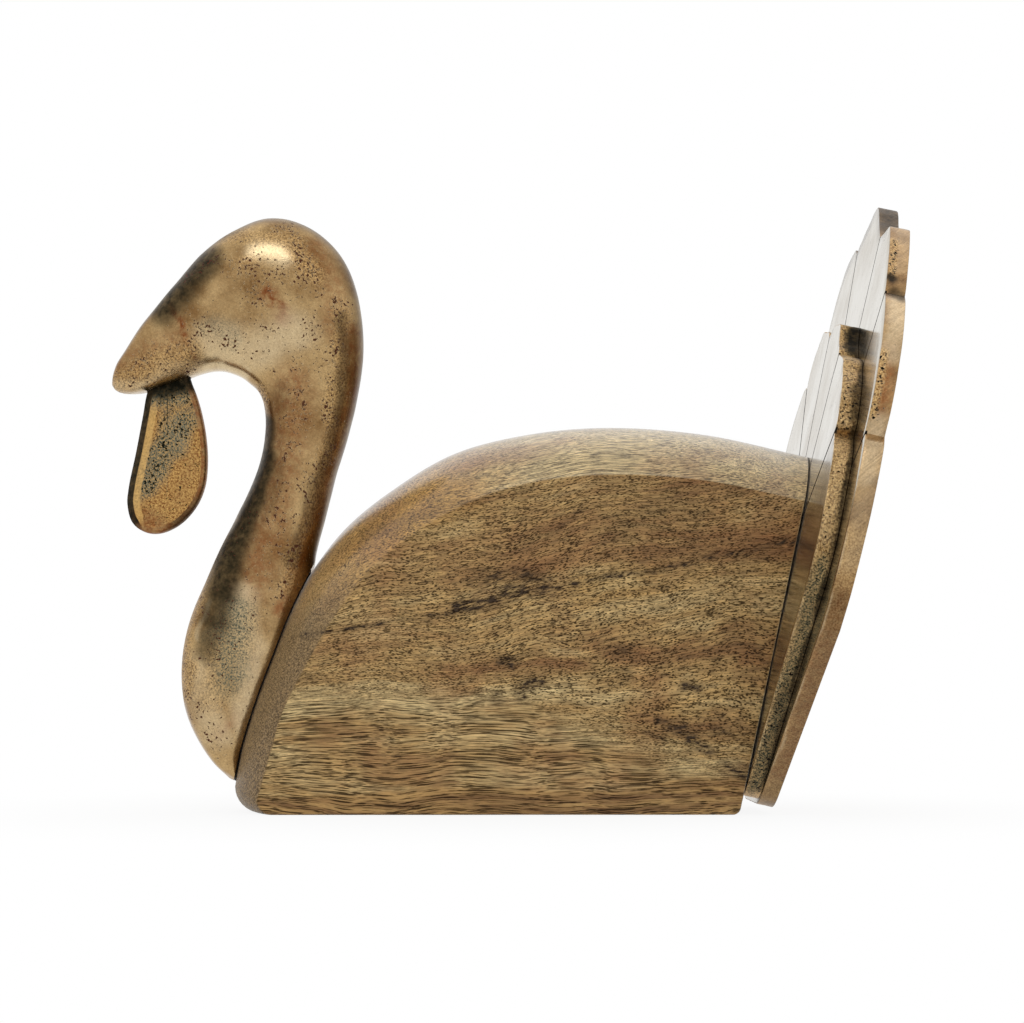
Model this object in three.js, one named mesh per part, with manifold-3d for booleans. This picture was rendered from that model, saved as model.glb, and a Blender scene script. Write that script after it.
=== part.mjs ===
// A turkey figure: a hardwood block with a rounded back, a cast neck and head, a cast wattle
// leaf set in the jaw, and a fan tail of two stacked cast plates screwed to the rear.
// Units are millimetres. +Z is up, the beak points along -X, and the origin is the middle of
// the block's flat resting face.

import * as THREE from 'three';
import { mergeVertices } from 'three/addons/utils/BufferGeometryUtils.js';
import Module from 'manifold-3d';

const wasm = await Module();
wasm.setup();

// Wooden block
const baseLength = 127;
const blockWidth = 52;
const crownHeight = 106.8;
const flankHeight = 92;
const noseOverhang = 11;
const flankOverhang = 3.1;
const noseRadius = 7;
const flankNoseRadius = 4;
const heelRadius = 2.2;

// Neck and head casting
const headHeight = 165.9;
const beakReach = 109.75;
const headThickness = 26.8;
const sectionSquareness = 2.2;

// Wattle leaf
const wattleLength = 46.5;
const wattleWidth = 22.3;
const wattleThickness = 5;
const wattleBevel = 1.3;

// Tail plates: heights run up the sloping plate from the level of the table
const tailLeanDegrees = 12.07;
const frontFanHub = 71;
const frontFanFoot = 5;
const frontFanFootWidth = 48;
const frontFanFootThickness = 4;
const frontFanTopThickness = 5.2;
const backFanHub = 58;
const backFanFoot = 3.6;
const backFanFootWidth = 45;
const backFanFootThickness = 4.4;
const backFanTopThickness = 5.5;
const frontFanRadius = 80.3;
const backFanRadius = 117;
const fanEdgeBevel = 0.6;
const fanFootRadius = 6;
const featherCutWidth = 0.6;
const featherCutDepth = 1;

// Studs that hold the neck
const studRadius = 3;
const studLength = 24;
const studGripInNeck = 9;
const studEndBevel = 0.6;

// Wood screws that hold the tail
const screwShankRadius = 2.2;
const screwHeadRadius = 4.2;
const screwHeadDepth = 2.4;
const screwLength = 32;
const screwPointLength = 5;
const screwSpread = 28;
const screwRecessWidth = 1.1;
const screwRecessSpan = 4.4;
const screwRecessDepth = 1.2;

// Shared fit and cutting overrun
const seatGap = 0.3;
const overrun = 2;

// Fineness of the curved stretches
const crownRows = 46;
const crownColumns = 16;
const cornerSteps = 4;
const neckRings = 66;
const neckSides = 28;
const lobeSteps = 10;
const footSteps = 4;
const turnSides = 24;

// Colours and finishes
const woodFinish = { color: 0x9a7448, roughness: 0.62, metalness: 0 };
const castBrassFinish = { color: 0xa8834f, roughness: 0.38, metalness: 0.9 };
const patinaBrassFinish = { color: 0x8f7d52, roughness: 0.5, metalness: 0.85 };
const fanBrassFinish = { color: 0xae8a58, roughness: 0.32, metalness: 0.9 };
const steelFinish = { color: 0x8d8a84, roughness: 0.4, metalness: 0.95 };

// Side profile of the block: x as a share of half the base length, z as a share of its height.
// Row by row, the crown point lies square above the flank point.
const crownShares = [
  [-1.142, 0.173],
  [-1.08, 0.3],
  [-1.016, 0.408],
  [-0.923, 0.541],
  [-0.795, 0.663],
  [-0.683, 0.743],
  [-0.504, 0.83],
  [-0.228, 0.929],
  [0.079, 0.979],
  [0.441, 1],
  [0.882, 0.982],
];
const flankShares = [
  [-0.998, 0.168],
  [-0.942, 0.302],
  [-0.852, 0.428],
  [-0.762, 0.541],
  [-0.646, 0.657],
  [-0.548, 0.737],
  [-0.381, 0.828],
  [-0.142, 0.92],
  [0.126, 0.978],
  [0.449, 1],
  [0.85, 0.984],
];
const crownRearShare = 0.924;
const flankRearShare = 0.923;

// Neck stations from the beak to the breast: the outer edge (forward, up) and the inner edge
// (forward, up), then the thickness. Forward is a share of the beak's reach beyond the block's
// base, up a share of the head's height, and the thickness a share of the head's.
const neckShares = [
  [1, 0.722, 0.998, 0.715, 0.07],
  [0.993, 0.732, 0.979, 0.708, 0.21],
  [0.967, 0.752, 0.934, 0.703, 0.36],
  [0.912, 0.776, 0.851, 0.702, 0.48],
  [0.829, 0.812, 0.76, 0.706, 0.61],
  [0.727, 0.849, 0.663, 0.715, 0.73],
  [0.594, 0.894, 0.547, 0.727, 0.84],
  [0.445, 0.942, 0.452, 0.736, 0.93],
  [0.262, 0.979, 0.385, 0.74, 0.98],
  [0.051, 1, 0.324, 0.74, 1],
  [-0.182, 0.985, 0.262, 0.735, 0.98],
  [-0.372, 0.94, 0.207, 0.728, 0.95],
  [-0.481, 0.874, 0.16, 0.718, 0.9],
  [-0.519, 0.802, 0.117, 0.707, 0.85],
  [-0.509, 0.736, 0.086, 0.69, 0.81],
  [-0.471, 0.674, 0.07, 0.666, 0.79],
  [-0.424, 0.623, 0.072, 0.634, 0.78],
  [-0.369, 0.573, 0.096, 0.593, 0.78],
  [-0.305, 0.502, 0.15, 0.547, 0.79],
  [-0.243, 0.434, 0.245, 0.491, 0.82],
  [-0.215, 0.37, 0.352, 0.432, 0.86],
  [-0.163, 0.311, 0.442, 0.373, 0.89],
  [-0.092, 0.252, 0.511, 0.324, 0.9],
  [-0.009, 0.194, 0.552, 0.269, 0.88],
  [0.082, 0.138, 0.559, 0.215, 0.82],
  [0.153, 0.09, 0.535, 0.168, 0.72],
  [0.186, 0.064, 0.473, 0.125, 0.58],
  [0.203, 0.052, 0.376, 0.083, 0.4],
  [0.217, 0.048, 0.279, 0.056, 0.16],
];

// Wattle outline round from the left of its root: shares of its width and length, measured from
// the middle of its top, which hangs at a share of the same forward reach and height.
const wattleShares = [
  [-0.17, -0.06],
  [-0.256, -0.146],
  [-0.315, -0.3],
  [-0.39, -0.5],
  [-0.484, -0.727],
  [-0.498, -0.828],
  [-0.43, -0.938],
  [-0.269, -0.994],
  [-0.081, -1],
  [0.157, -0.948],
  [0.354, -0.847],
  [0.466, -0.727],
  [0.502, -0.57],
  [0.475, -0.4],
  [0.399, -0.23],
  [0.309, -0.11],
  [0.193, 0],
];
const wattleHangShare = [0.661, 0.746];

// Fans: the lobes from the near flank over the top to the far flank, each with its points at an
// angle from straight up, in degrees, and a share of the fan's radius, measured from its hub.
// Where one lobe ends the next begins, at their notch, which has a cut that heads inwards at its
// own angle. The plates were cut by hand, so the two sides differ a little.
const frontFanShape = {
  lobeShares: [
    [[-96, 0.925], [-88, 0.965], [-76, 0.955], [-71.3, 0.95], [-68.1, 0.928], [-63.7, 0.888]],
    [[-63.7, 0.888], [-62.8, 0.918], [-59.3, 0.922], [-55.5, 0.92], [-50.7, 0.909],
      [-45.2, 0.889], [-42.3, 0.885], [-35, 0.834], [-30.1, 0.805]],
    [[-30.1, 0.805], [-28.6, 0.812], [-23.4, 0.819], [-20.1, 0.836], [-17.3, 0.856],
      [-12, 0.847], [-6, 0.841], [0, 0.835], [4.8, 0.815]],
    [[4.8, 0.815], [7.5, 0.844], [14.6, 0.879], [21, 0.924], [23.7, 0.926], [27.1, 0.926],
      [30.6, 0.93], [33.6, 0.925], [36.3, 0.909], [38.5, 0.865]],
    [[38.5, 0.865], [41.3, 0.911], [44.7, 0.942], [47.9, 0.956], [51, 0.972], [54, 0.985],
      [56.8, 0.995], [59.6, 1], [62.5, 0.99], [66, 0.95]],
    [[66, 0.95], [69, 0.975], [76, 0.985], [88, 0.98], [97, 0.93]],
  ],
  cutHeadings: [-62, -28, 6, 43, 65],
};
const backFanShape = {
  lobeShares: [
    [[-94.4, 0.723], [-88.1, 0.773], [-82.3, 0.805], [-75.7, 0.837], [-69, 0.852], [-66, 0.852],
      [-63.9, 0.838]],
    [[-63.9, 0.838], [-63, 0.845], [-61.6, 0.863], [-59.4, 0.88], [-56.9, 0.891],
      [-53.9, 0.898], [-51.1, 0.906], [-47.1, 0.908], [-43.7, 0.906], [-40.2, 0.903],
      [-37.7, 0.894]],
    [[-37.7, 0.894], [-37, 0.9], [-34.3, 0.911], [-31, 0.924], [-27.6, 0.938], [-25.2, 0.947],
      [-23, 0.955], [-21.5, 0.958], [-17, 0.932], [-11.7, 0.911]],
    [[-11.7, 0.911], [-8.3, 0.93], [-5, 0.953], [-1.9, 0.981], [1.1, 1], [4.6, 1],
      [7.8, 0.99], [11.2, 0.986], [14, 0.981], [16.3, 0.98], [17.6, 0.972]],
    [[17.6, 0.972], [20.4, 1.008], [22.5, 1.02], [25, 1.032], [27.9, 1.043], [29.9, 1.044],
      [31.6, 1.038], [33.4, 1.032], [35.1, 1.024], [36.5, 1.007], [38.1, 0.99], [42, 0.94]],
    [[42, 0.94], [45, 0.95], [50, 0.945], [56, 0.925], [62, 0.89], [67, 0.85]],
    [[67, 0.85], [69, 0.862], [77, 0.845], [84, 0.81], [90, 0.77], [95.5, 0.72]],
  ],
  cutHeadings: [-63, -40, -8, 24, 45, 65],
};
const featherCutInnerShare = 0.3;

// Seats of the fasteners: studs at shares of the crown's height, screws at shares of the block's
// rear height, measured up its slope
const studHeightShares = { upper: 0.44, lower: 0.23 };
const screwHeightShares = { upper: 0.75, lower: 0.26 };

const toRadians = THREE.MathUtils.degToRad;
const halfBase = baseLength / 2;
const halfWidth = blockWidth / 2;
const tailLean = toRadians(tailLeanDegrees);

// Meshes and solids

// Collects points and triangles, and turns them into one geometry.
class SurfaceMaker {
  constructor() {
    this.coordinates = [];
    this.triangles = [];
  }

  point(x, y, z) {
    this.coordinates.push(x, y, z);
    return this.coordinates.length / 3 - 1;
  }

  triangle(a, b, c) {
    this.triangles.push(a, b, c);
  }

  // Joins two rows of points, with a last column back to the first when the rows are rings.
  strip(row, next, isRing) {
    const columns = isRing ? row.length : row.length - 1;
    for (let j = 0; j < columns; j += 1) {
      const k = (j + 1) % row.length;
      this.triangle(row[j], next[j], next[k]);
      this.triangle(row[j], next[k], row[k]);
    }
  }

  // Fills between a row of many points and a next row of two.
  narrow(row, next) {
    for (let j = 0; j < row.length - 1; j += 1) {
      this.triangle(row[j], next[0], row[j + 1]);
    }
    this.triangle(row[row.length - 1], next[0], next[1]);
  }

  // Fills between a row of two points and a next row of many.
  widen(row, next) {
    for (let j = 0; j < next.length - 1; j += 1) {
      this.triangle(row[0], next[j], next[j + 1]);
    }
    this.triangle(row[0], next[next.length - 1], row[1]);
  }

  geometry() {
    const made = new THREE.BufferGeometry();
    made.setAttribute('position', new THREE.Float32BufferAttribute(this.coordinates, 3));
    made.setIndex(this.triangles);
    return made;
  }
}

// Turns a closed geometry into a solid that can be cut and joined.
function toSolid(geometry) {
  const bare = geometry.clone();
  bare.deleteAttribute('normal');
  bare.deleteAttribute('uv');
  const merged = mergeVertices(bare);
  return new wasm.Manifold(new wasm.Mesh({
    numProp: 3,
    vertProperties: new Float32Array(merged.attributes.position.array),
    triVerts: new Uint32Array(merged.index.array),
  }));
}

// Turns a solid back into a geometry.
function toGeometry(solid) {
  const { vertProperties, triVerts } = solid.getMesh();
  const made = new THREE.BufferGeometry();
  made.setAttribute('position', new THREE.BufferAttribute(new Float32Array(vertProperties), 3));
  made.setIndex(new THREE.BufferAttribute(new Uint32Array(triVerts), 1));
  return made;
}

// Makes a named mesh of a solid.
function namedMesh(name, solid, finish) {
  const mesh = new THREE.Mesh(toGeometry(solid), new THREE.MeshStandardMaterial(finish));
  mesh.geometry.computeVertexNormals();
  mesh.name = name;
  return mesh;
}

// Cuts each of the cutters from a solid.
function cutAll(solid, cutters) {
  return cutters.reduce((left, cutter) => left.subtract(cutter), solid);
}

// Wooden block

// x of the block's sloping rear face at a height.
function rearFaceX(z) {
  return halfBase + z * Math.tan(tailLean);
}

// Side profile as a smooth curve from the top of the nose corner to the rear face.
function profileCurve(shares, height, start, rearShare) {
  const rearZ = rearShare * height;
  const points = [
    new THREE.Vector3(start.x, 0, start.z),
    ...shares.map(([along, up]) => new THREE.Vector3(along * halfBase, 0, up * height)),
    new THREE.Vector3(rearFaceX(rearZ), 0, rearZ),
  ];
  return new THREE.CatmullRomCurve3(points, false, 'centripetal');
}

// Points of a side profile: the round nose corner from the table, then the curve.
function profilePoints(shares, height, overhang, radius, rearShare) {
  const noseX = -halfBase - overhang;
  const points = [];
  for (let i = 0; i < cornerSteps; i += 1) {
    const angle = (i / cornerSteps) * (Math.PI / 2);
    const x = noseX + radius * (1 - Math.sin(angle));
    points.push(new THREE.Vector3(x, 0, radius * (1 - Math.cos(angle))));
  }
  const curve = profileCurve(shares, height, { x: noseX, z: radius }, rearShare);
  points.push(...curve.getPoints(crownRows));
  return points;
}

// The block's crown and flank profiles.
function crownProfile() {
  return profilePoints(crownShares, crownHeight, noseOverhang, noseRadius, crownRearShare);
}

function flankProfile() {
  return profilePoints(flankShares, flankHeight, flankOverhang, flankNoseRadius, flankRearShare);
}

// One row across the block: a circular arc from arris to arris through the crown.
function crownRow(flank, crown, outset) {
  const rise = crown.clone().sub(flank);
  const sagitta = rise.length();
  rise.normalize();
  const radius = (halfWidth ** 2 + sagitta ** 2) / (2 * sagitta);
  const spread = Math.asin(Math.min(1, halfWidth / radius));
  const row = [];
  for (let j = 0; j <= crownColumns; j += 1) {
    const angle = spread * ((2 * j) / crownColumns - 1);
    const lift = radius * (Math.cos(angle) - Math.cos(spread)) + outset;
    row.push(new THREE.Vector3(
      flank.x + rise.x * lift,
      radius * Math.sin(angle),
      flank.z + rise.z * lift,
    ));
  }
  return row;
}

// The whole block. With an outset its rounded skin stands that much further out.
function blockSolid(outset = 0) {
  const maker = new SurfaceMaker();
  const crown = crownProfile();
  const flank = flankProfile();
  const rows = crown.map((point, i) => {
    const row = crownRow(flank[i], point, outset);
    return row.map(({ x, y, z }) => maker.point(x, y, z));
  });
  const heel = [];
  const heelX = rearFaceX(heelRadius) - heelRadius / Math.cos(tailLean);
  for (let i = 0; i <= cornerSteps; i += 1) {
    const angle = tailLean + (i / cornerSteps) * (Math.PI / 2 - tailLean);
    const x = heelX + heelRadius * Math.cos(angle);
    const z = heelRadius * (1 - Math.sin(angle));
    heel.push([maker.point(x, -halfWidth, z), maker.point(x, halfWidth, z)]);
  }
  for (let i = 0; i < rows.length - 1; i += 1) {
    maker.strip(rows[i], rows[i + 1], false);
  }
  maker.narrow(rows[rows.length - 1], heel[0]);
  for (let i = 0; i < heel.length - 1; i += 1) {
    maker.strip(heel[i], heel[i + 1], false);
  }
  maker.widen(heel[heel.length - 1], rows[0]);
  const near = [...rows.map((row) => row[0]), ...heel.map((row) => row[0])];
  const far = [...rows.map((row) => row[crownColumns]), ...heel.map((row) => row[1])];
  for (let i = 0; i < near.length - 2; i += 1) {
    maker.triangle(near[near.length - 1], near[i + 1], near[i]);
    maker.triangle(far[far.length - 1], far[i], far[i + 1]);
  }
  return toSolid(maker.geometry());
}

// Neck and head

// x at a share of the beak's reach beyond the block's base.
function forwardX(share) {
  return -halfBase - share * (beakReach - halfBase);
}

// The full casting, running on into the block's space, where the block is cut from it.
function neckSolid() {
  const outer = [];
  const inner = [];
  for (const [outForward, outUp, inForward, inUp, thick] of neckShares) {
    const half = (thick * headThickness) / 2;
    outer.push(new THREE.Vector3(forwardX(outForward), half, outUp * headHeight));
    inner.push(new THREE.Vector3(forwardX(inForward), 0, inUp * headHeight));
  }
  const outerEdge = new THREE.CatmullRomCurve3(outer, false, 'centripetal');
  const innerEdge = new THREE.CatmullRomCurve3(inner, false, 'centripetal');
  const maker = new SurfaceMaker();
  const rings = [];
  const power = 2 / sectionSquareness;
  const rounded = (value) => Math.sign(value) * Math.abs(value) ** power;
  for (let k = 0; k <= neckRings; k += 1) {
    const top = outerEdge.getPoint(k / neckRings);
    const bottom = innerEdge.getPoint(k / neckRings);
    const half = top.y;
    top.y = 0;
    const centre = top.clone().add(bottom).multiplyScalar(0.5);
    const reach = top.clone().sub(centre);
    const ring = [];
    for (let j = 0; j < neckSides; j += 1) {
      const angle = (j / neckSides) * 2 * Math.PI;
      const across = rounded(Math.cos(angle));
      ring.push(maker.point(
        centre.x + reach.x * across,
        half * rounded(Math.sin(angle)),
        centre.z + reach.z * across,
      ));
    }
    rings.push(ring);
    if (k > 0) {
      maker.strip(rings[k - 1], ring, true);
    }
    if (k === 0 || k === neckRings) {
      const hub = maker.point(centre.x, 0, centre.z);
      for (let j = 0; j < neckSides; j += 1) {
        const next = (j + 1) % neckSides;
        const edge = k === 0 ? [ring[j], ring[next]] : [ring[next], ring[j]];
        maker.triangle(hub, ...edge);
      }
    }
  }
  return toSolid(maker.geometry());
}

// Wattle

// The leaf lies in the middle plane. With an outset it is larger all round, for its slot.
function wattleSolid(outset = 0) {
  const [hangForward, hangUp] = wattleHangShare;
  const points = wattleShares.map(([across, up]) => (
    new THREE.Vector3(across * wattleWidth, up * wattleLength, 0)
  ));
  const outline = new THREE.CatmullRomCurve3(points, true, 'centripetal');
  const steps = points.length * 3;
  const shape = new THREE.Shape(
    outline.getPoints(steps).slice(0, steps).map(({ x, y }) => new THREE.Vector2(x, y)),
  );
  const depth = wattleThickness + 2 * outset - 2 * wattleBevel;
  const geometry = new THREE.ExtrudeGeometry(shape, {
    depth,
    curveSegments: 1,
    bevelEnabled: true,
    bevelSize: wattleBevel,
    bevelThickness: wattleBevel,
    bevelOffset: outset - wattleBevel,
    bevelSegments: 2,
  });
  geometry.translate(0, 0, -depth / 2);
  geometry.rotateX(Math.PI / 2);
  geometry.translate(forwardX(hangForward), 0, hangUp * headHeight);
  return toSolid(geometry);
}

// Tail fans

// A point of a fan's edge from its angle and its share of the radius, with the hub at the origin.
function edgePoint(fan, [angle, share]) {
  const turn = toRadians(angle);
  return new THREE.Vector3(Math.sin(turn), Math.cos(turn), 0).multiplyScalar(share * fan.radius);
}

// The rounded corner of a fan's foot, met from one point and left towards the other.
function footCorner(before, corner, after) {
  const start = corner.clone().add(before.clone().sub(corner).setLength(fanFootRadius));
  const end = corner.clone().add(after.clone().sub(corner).setLength(fanFootRadius));
  return new THREE.QuadraticBezierCurve3(start, corner, end).getPoints(footSteps);
}

// The fan's outline in its own plane: across, and up from the table along its slope.
function fanShape(fan) {
  const points = [];
  for (const lobe of fan.shape.lobeShares) {
    const controls = lobe.map((pair) => edgePoint(fan, pair));
    const edge = new THREE.CatmullRomCurve3(controls, false, 'centripetal');
    points.push(...edge.getPoints(lobeSteps).slice(points.length > 0 ? 1 : 0));
  }
  const near = points[0];
  const far = points[points.length - 1];
  const nearFoot = new THREE.Vector3(-fan.footWidth / 2, fan.foot - fan.hub, 0);
  const farFoot = new THREE.Vector3(fan.footWidth / 2, fan.foot - fan.hub, 0);
  points.push(...footCorner(far, farFoot, nearFoot));
  points.push(...footCorner(farFoot, nearFoot, near));
  return new THREE.Shape(points.map(({ x, y }) => new THREE.Vector2(x, y + fan.hub)).reverse());
}

// Thickness of a fan at a height up its slope.
function fanThickness(fan, up) {
  const top = fan.hub + fan.radius;
  return fan.footThickness + ((fan.topThickness - fan.footThickness) * up) / top;
}

// A straight cut from each notch inwards, between two feathers.
function featherCuts(fan) {
  return fan.shape.cutHeadings.map((heading, i) => {
    const [notch] = fan.shape.lobeShares[i + 1];
    const at = edgePoint(fan, notch);
    const inner = (notch[1] - featherCutInnerShare) * fan.radius;
    const box = new THREE.BoxGeometry(featherCutWidth, overrun + inner, 2 * featherCutDepth);
    box.translate(0, (overrun - inner) / 2, 0);
    box.rotateZ(-toRadians(heading));
    box.translate(at.x, at.y + fan.hub, 0);
    return toSolid(box.applyMatrix4(fan.frame));
  });
}

// A fan plate with tapering thickness and a small bevel round both faces.
function fanSolid(fan) {
  const geometry = new THREE.ExtrudeGeometry(fanShape(fan), {
    depth: 1,
    curveSegments: 1,
    bevelEnabled: true,
    bevelSize: fanEdgeBevel,
    bevelThickness: fanEdgeBevel,
    bevelOffset: -fanEdgeBevel,
    bevelSegments: 1,
  });
  const position = geometry.attributes.position;
  for (let i = 0; i < position.count; i += 1) {
    const level = position.getZ(i);
    const isFront = level < 0.5;
    const far = fanThickness(fan, position.getY(i)) - fanEdgeBevel + (level - 1);
    position.setZ(i, isFront ? level + fanEdgeBevel : far);
  }
  return toSolid(geometry.applyMatrix4(fan.frame));
}

// Frame of a plate that leans back from a foot point: x across, y up the slope, z to the rear.
function leaningFrame(footX, footZ, lean) {
  const across = new THREE.Vector3(0, 1, 0);
  const up = new THREE.Vector3(Math.sin(lean), 0, Math.cos(lean));
  const back = new THREE.Vector3(Math.cos(lean), 0, -Math.sin(lean));
  return new THREE.Matrix4().makeBasis(across, up, back).setPosition(footX, 0, footZ);
}

const frontFan = {
  shape: frontFanShape,
  hub: frontFanHub,
  radius: frontFanRadius,
  foot: frontFanFoot,
  footWidth: frontFanFootWidth,
  footThickness: frontFanFootThickness,
  topThickness: frontFanTopThickness,
  frame: leaningFrame(halfBase + seatGap / Math.cos(tailLean), 0, tailLean),
};
const frontFanTaper = Math.atan(
  (frontFanTopThickness - frontFanFootThickness) / (frontFanHub + frontFanRadius),
);
const stackDepth = frontFanFootThickness + seatGap;
const backFan = {
  shape: backFanShape,
  hub: backFanHub,
  radius: backFanRadius,
  foot: backFanFoot,
  footWidth: backFanFootWidth,
  footThickness: backFanFootThickness,
  topThickness: backFanTopThickness,
  frame: leaningFrame(
    halfBase + seatGap / Math.cos(tailLean) + stackDepth * Math.cos(tailLean),
    -stackDepth * Math.sin(tailLean),
    tailLean + frontFanTaper,
  ),
};

// Fasteners

// A solid turned round the Z axis from a profile of radius and height pairs.
function turned(profile) {
  const points = profile.map(([radius, height]) => new THREE.Vector2(radius, height));
  return new THREE.LatheGeometry(points, turnSides).rotateX(Math.PI / 2);
}

// A stud square to the rounded nose of the block, at a height on its crown.
function studSolid(heightShare, outset = 0) {
  const crown = crownProfile();
  const height = heightShare * crownHeight;
  const at = crown.findIndex(({ z }) => z > height);
  const [below, above] = [crown[at - 1], crown[at]];
  const seat = below.clone().lerp(above, (height - below.z) / (above.z - below.z));
  const along = above.clone().sub(below).normalize();
  const out = new THREE.Vector3(-along.z, 0, along.x);
  const radius = studRadius + outset;
  const top = studGripInNeck + outset;
  const bottom = studGripInNeck - studLength - outset;
  const stud = turned([
    [0, bottom],
    [radius - studEndBevel, bottom],
    [radius, bottom + studEndBevel],
    [radius, top - studEndBevel],
    [radius - studEndBevel, top],
    [0, top],
  ]);
  const turn = new THREE.Quaternion().setFromUnitVectors(new THREE.Vector3(0, 0, 1), out);
  stud.applyQuaternion(turn);
  stud.translate(seat.x, seat.y, seat.z);
  return toSolid(stud);
}

// Depth from the front of the tail to the rear face of the back fan, at a height up the slope.
function tailDepth(up) {
  const frontDepth = fanThickness(frontFan, up) + seatGap;
  return frontDepth + fanThickness(backFan, up);
}

// Place of a screw on the rear of the block: across, and up its slope.
const rearSlopeLength = (flankRearShare * flankHeight) / Math.cos(tailLean);
const screwPlaces = {
  upper: [0, screwHeightShares.upper * rearSlopeLength],
  left: [-screwSpread / 2, screwHeightShares.lower * rearSlopeLength],
  right: [screwSpread / 2, screwHeightShares.lower * rearSlopeLength],
};

// A countersunk screw from behind. With an outset it is larger all round, for its hole.
function screwSolid([across, up], outset = 0) {
  const headTop = tailDepth(up) - seatGap;
  const headRadius = screwHeadRadius + outset;
  const shankRadius = screwShankRadius + outset;
  const tip = headTop - screwLength - outset;
  const mouth = outset > 0 ? headTop + overrun : headTop;
  const profile = [
    [0, tip],
    [shankRadius, tip + screwPointLength],
    [shankRadius, headTop - screwHeadDepth],
    [headRadius, headTop],
  ];
  if (outset > 0) {
    profile.push([headRadius, mouth]);
  }
  profile.push([0, mouth]);
  let screw = toSolid(turned(profile).translate(across, up, 0).applyMatrix4(frontFan.frame));
  if (outset === 0) {
    for (const turn of [0, Math.PI / 2]) {
      const slot = new THREE.BoxGeometry(screwRecessSpan, screwRecessWidth, 2 * screwRecessDepth);
      slot.rotateZ(turn);
      slot.translate(across, up, headTop);
      screw = screw.subtract(toSolid(slot.applyMatrix4(frontFan.frame)));
    }
  }
  return screw;
}

// The figure

const studHoles = Object.values(studHeightShares).map((share) => studSolid(share, seatGap));
const screwHoles = Object.values(screwPlaces).map((place) => screwSolid(place, seatGap));

const body = cutAll(blockSolid(), [...studHoles, ...screwHoles]);
const headNeck = cutAll(neckSolid(), [blockSolid(seatGap), wattleSolid(seatGap), ...studHoles]);
const frontPlate = cutAll(fanSolid(frontFan), [...featherCuts(frontFan), ...screwHoles]);
const backPlate = cutAll(fanSolid(backFan), [...featherCuts(backFan), ...screwHoles]);

const figure = new THREE.Group();
figure.add(namedMesh('body', body, woodFinish));
figure.add(namedMesh('head_neck', headNeck, castBrassFinish));
figure.add(namedMesh('wattle', wattleSolid(), patinaBrassFinish));
figure.add(namedMesh('tail_front_fan', frontPlate, fanBrassFinish));
figure.add(namedMesh('tail_back_fan', backPlate, fanBrassFinish));
for (const [place, share] of Object.entries(studHeightShares)) {
  figure.add(namedMesh(`neck_stud_${place}`, studSolid(share), steelFinish));
}
for (const [place, at] of Object.entries(screwPlaces)) {
  figure.add(namedMesh(`tail_screw_${place}`, screwSolid(at), steelFinish));
}

export default figure;
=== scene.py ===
"""Looks of a tabletop turkey figure: a mango wood block with a rounded back, an antiqued cast
neck and head, a wattle leaf set in the jaw, and a fan tail of two cast plates.

Sizes in the classes are millimetres, with the beak along -X, the tail along +X and +Z up. The
meshes are in metres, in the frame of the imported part.
"""

import logging
import math
from dataclasses import dataclass
from enum import Enum, IntEnum

import bpy
import numpy as np
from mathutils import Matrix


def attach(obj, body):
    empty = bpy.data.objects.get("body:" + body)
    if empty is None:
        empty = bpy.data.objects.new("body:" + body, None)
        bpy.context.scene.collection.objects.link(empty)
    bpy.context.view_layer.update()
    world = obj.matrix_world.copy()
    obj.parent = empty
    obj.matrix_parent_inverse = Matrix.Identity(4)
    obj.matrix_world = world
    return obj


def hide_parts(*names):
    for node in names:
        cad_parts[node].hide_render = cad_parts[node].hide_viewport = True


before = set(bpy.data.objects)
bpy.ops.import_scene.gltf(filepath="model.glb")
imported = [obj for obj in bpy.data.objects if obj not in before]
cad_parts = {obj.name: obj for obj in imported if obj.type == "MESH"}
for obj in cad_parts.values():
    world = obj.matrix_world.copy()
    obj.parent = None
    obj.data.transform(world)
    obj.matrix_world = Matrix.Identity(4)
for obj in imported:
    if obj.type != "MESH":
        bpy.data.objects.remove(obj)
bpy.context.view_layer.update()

log = logging.getLogger("turkey_figure")
MM = 0.001

# Room in millimetres between the casting and the wood, and round the leaf in its slot; then
# how far the glue keeps inside the casting's skin, and its top and foot above the wood
SEAT_GAP = 0.7
SLOT_GAP = 0.3
GLUE_INSET = 1.0
GLUE_TOP = 0.62
GLUE_FOOT = 0.06

Pair = tuple[float, float]
Pairs = tuple[Pair, ...]


class Seed(IntEnum):
    """Seeds of the random fields, so that each run gives the same ones."""

    CASTING_LUMPS = 5
    CASTING_RIPPLES = 6
    EDGE_GRIT = 7
    EDGE_LUMPS = 8
    PLATE_WAVES = 9
    STAINS = 11
    VEINS = 13
    PALE_STREAKS = 15
    DARK_CLOUDS = 17
    HONEY = 19
    GRAIN_LINES = 21
    FILM_AND_REFLECTION = 31
    PITS = 41
    PIT_PATCHES = 43
    ROUGH = 45
    COPPER = 51
    GREEN = 61
    WORN_AND_HIGHLIGHT = 71
    LEAF_FILM = 81
    LEAF_GREEN = 82
    LEAF_COPPER = 83
    PLATE_WEAR = 90


# Colours and nodes


def linear(code: str) -> tuple[float, float, float, float]:
    """Turns an sRGB hex colour into Blender's linear one.

    Args:
        code: The colour, such as "#a2845e".

    Returns:
        Red, green, blue and alpha.
    """
    shares = [int(code[i : i + 2], 16) / 255 for i in (1, 3, 5)]
    red, green, blue = [s / 12.92 if s <= 0.04045 else ((s + 0.055) / 1.055) ** 2.4 for s in shares]
    return red, green, blue, 1.0


def per_mm(size: float) -> float:
    """Scale of a pattern on Object coordinates whose features are this many millimetres."""
    return 1 / (size * MM)


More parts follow.
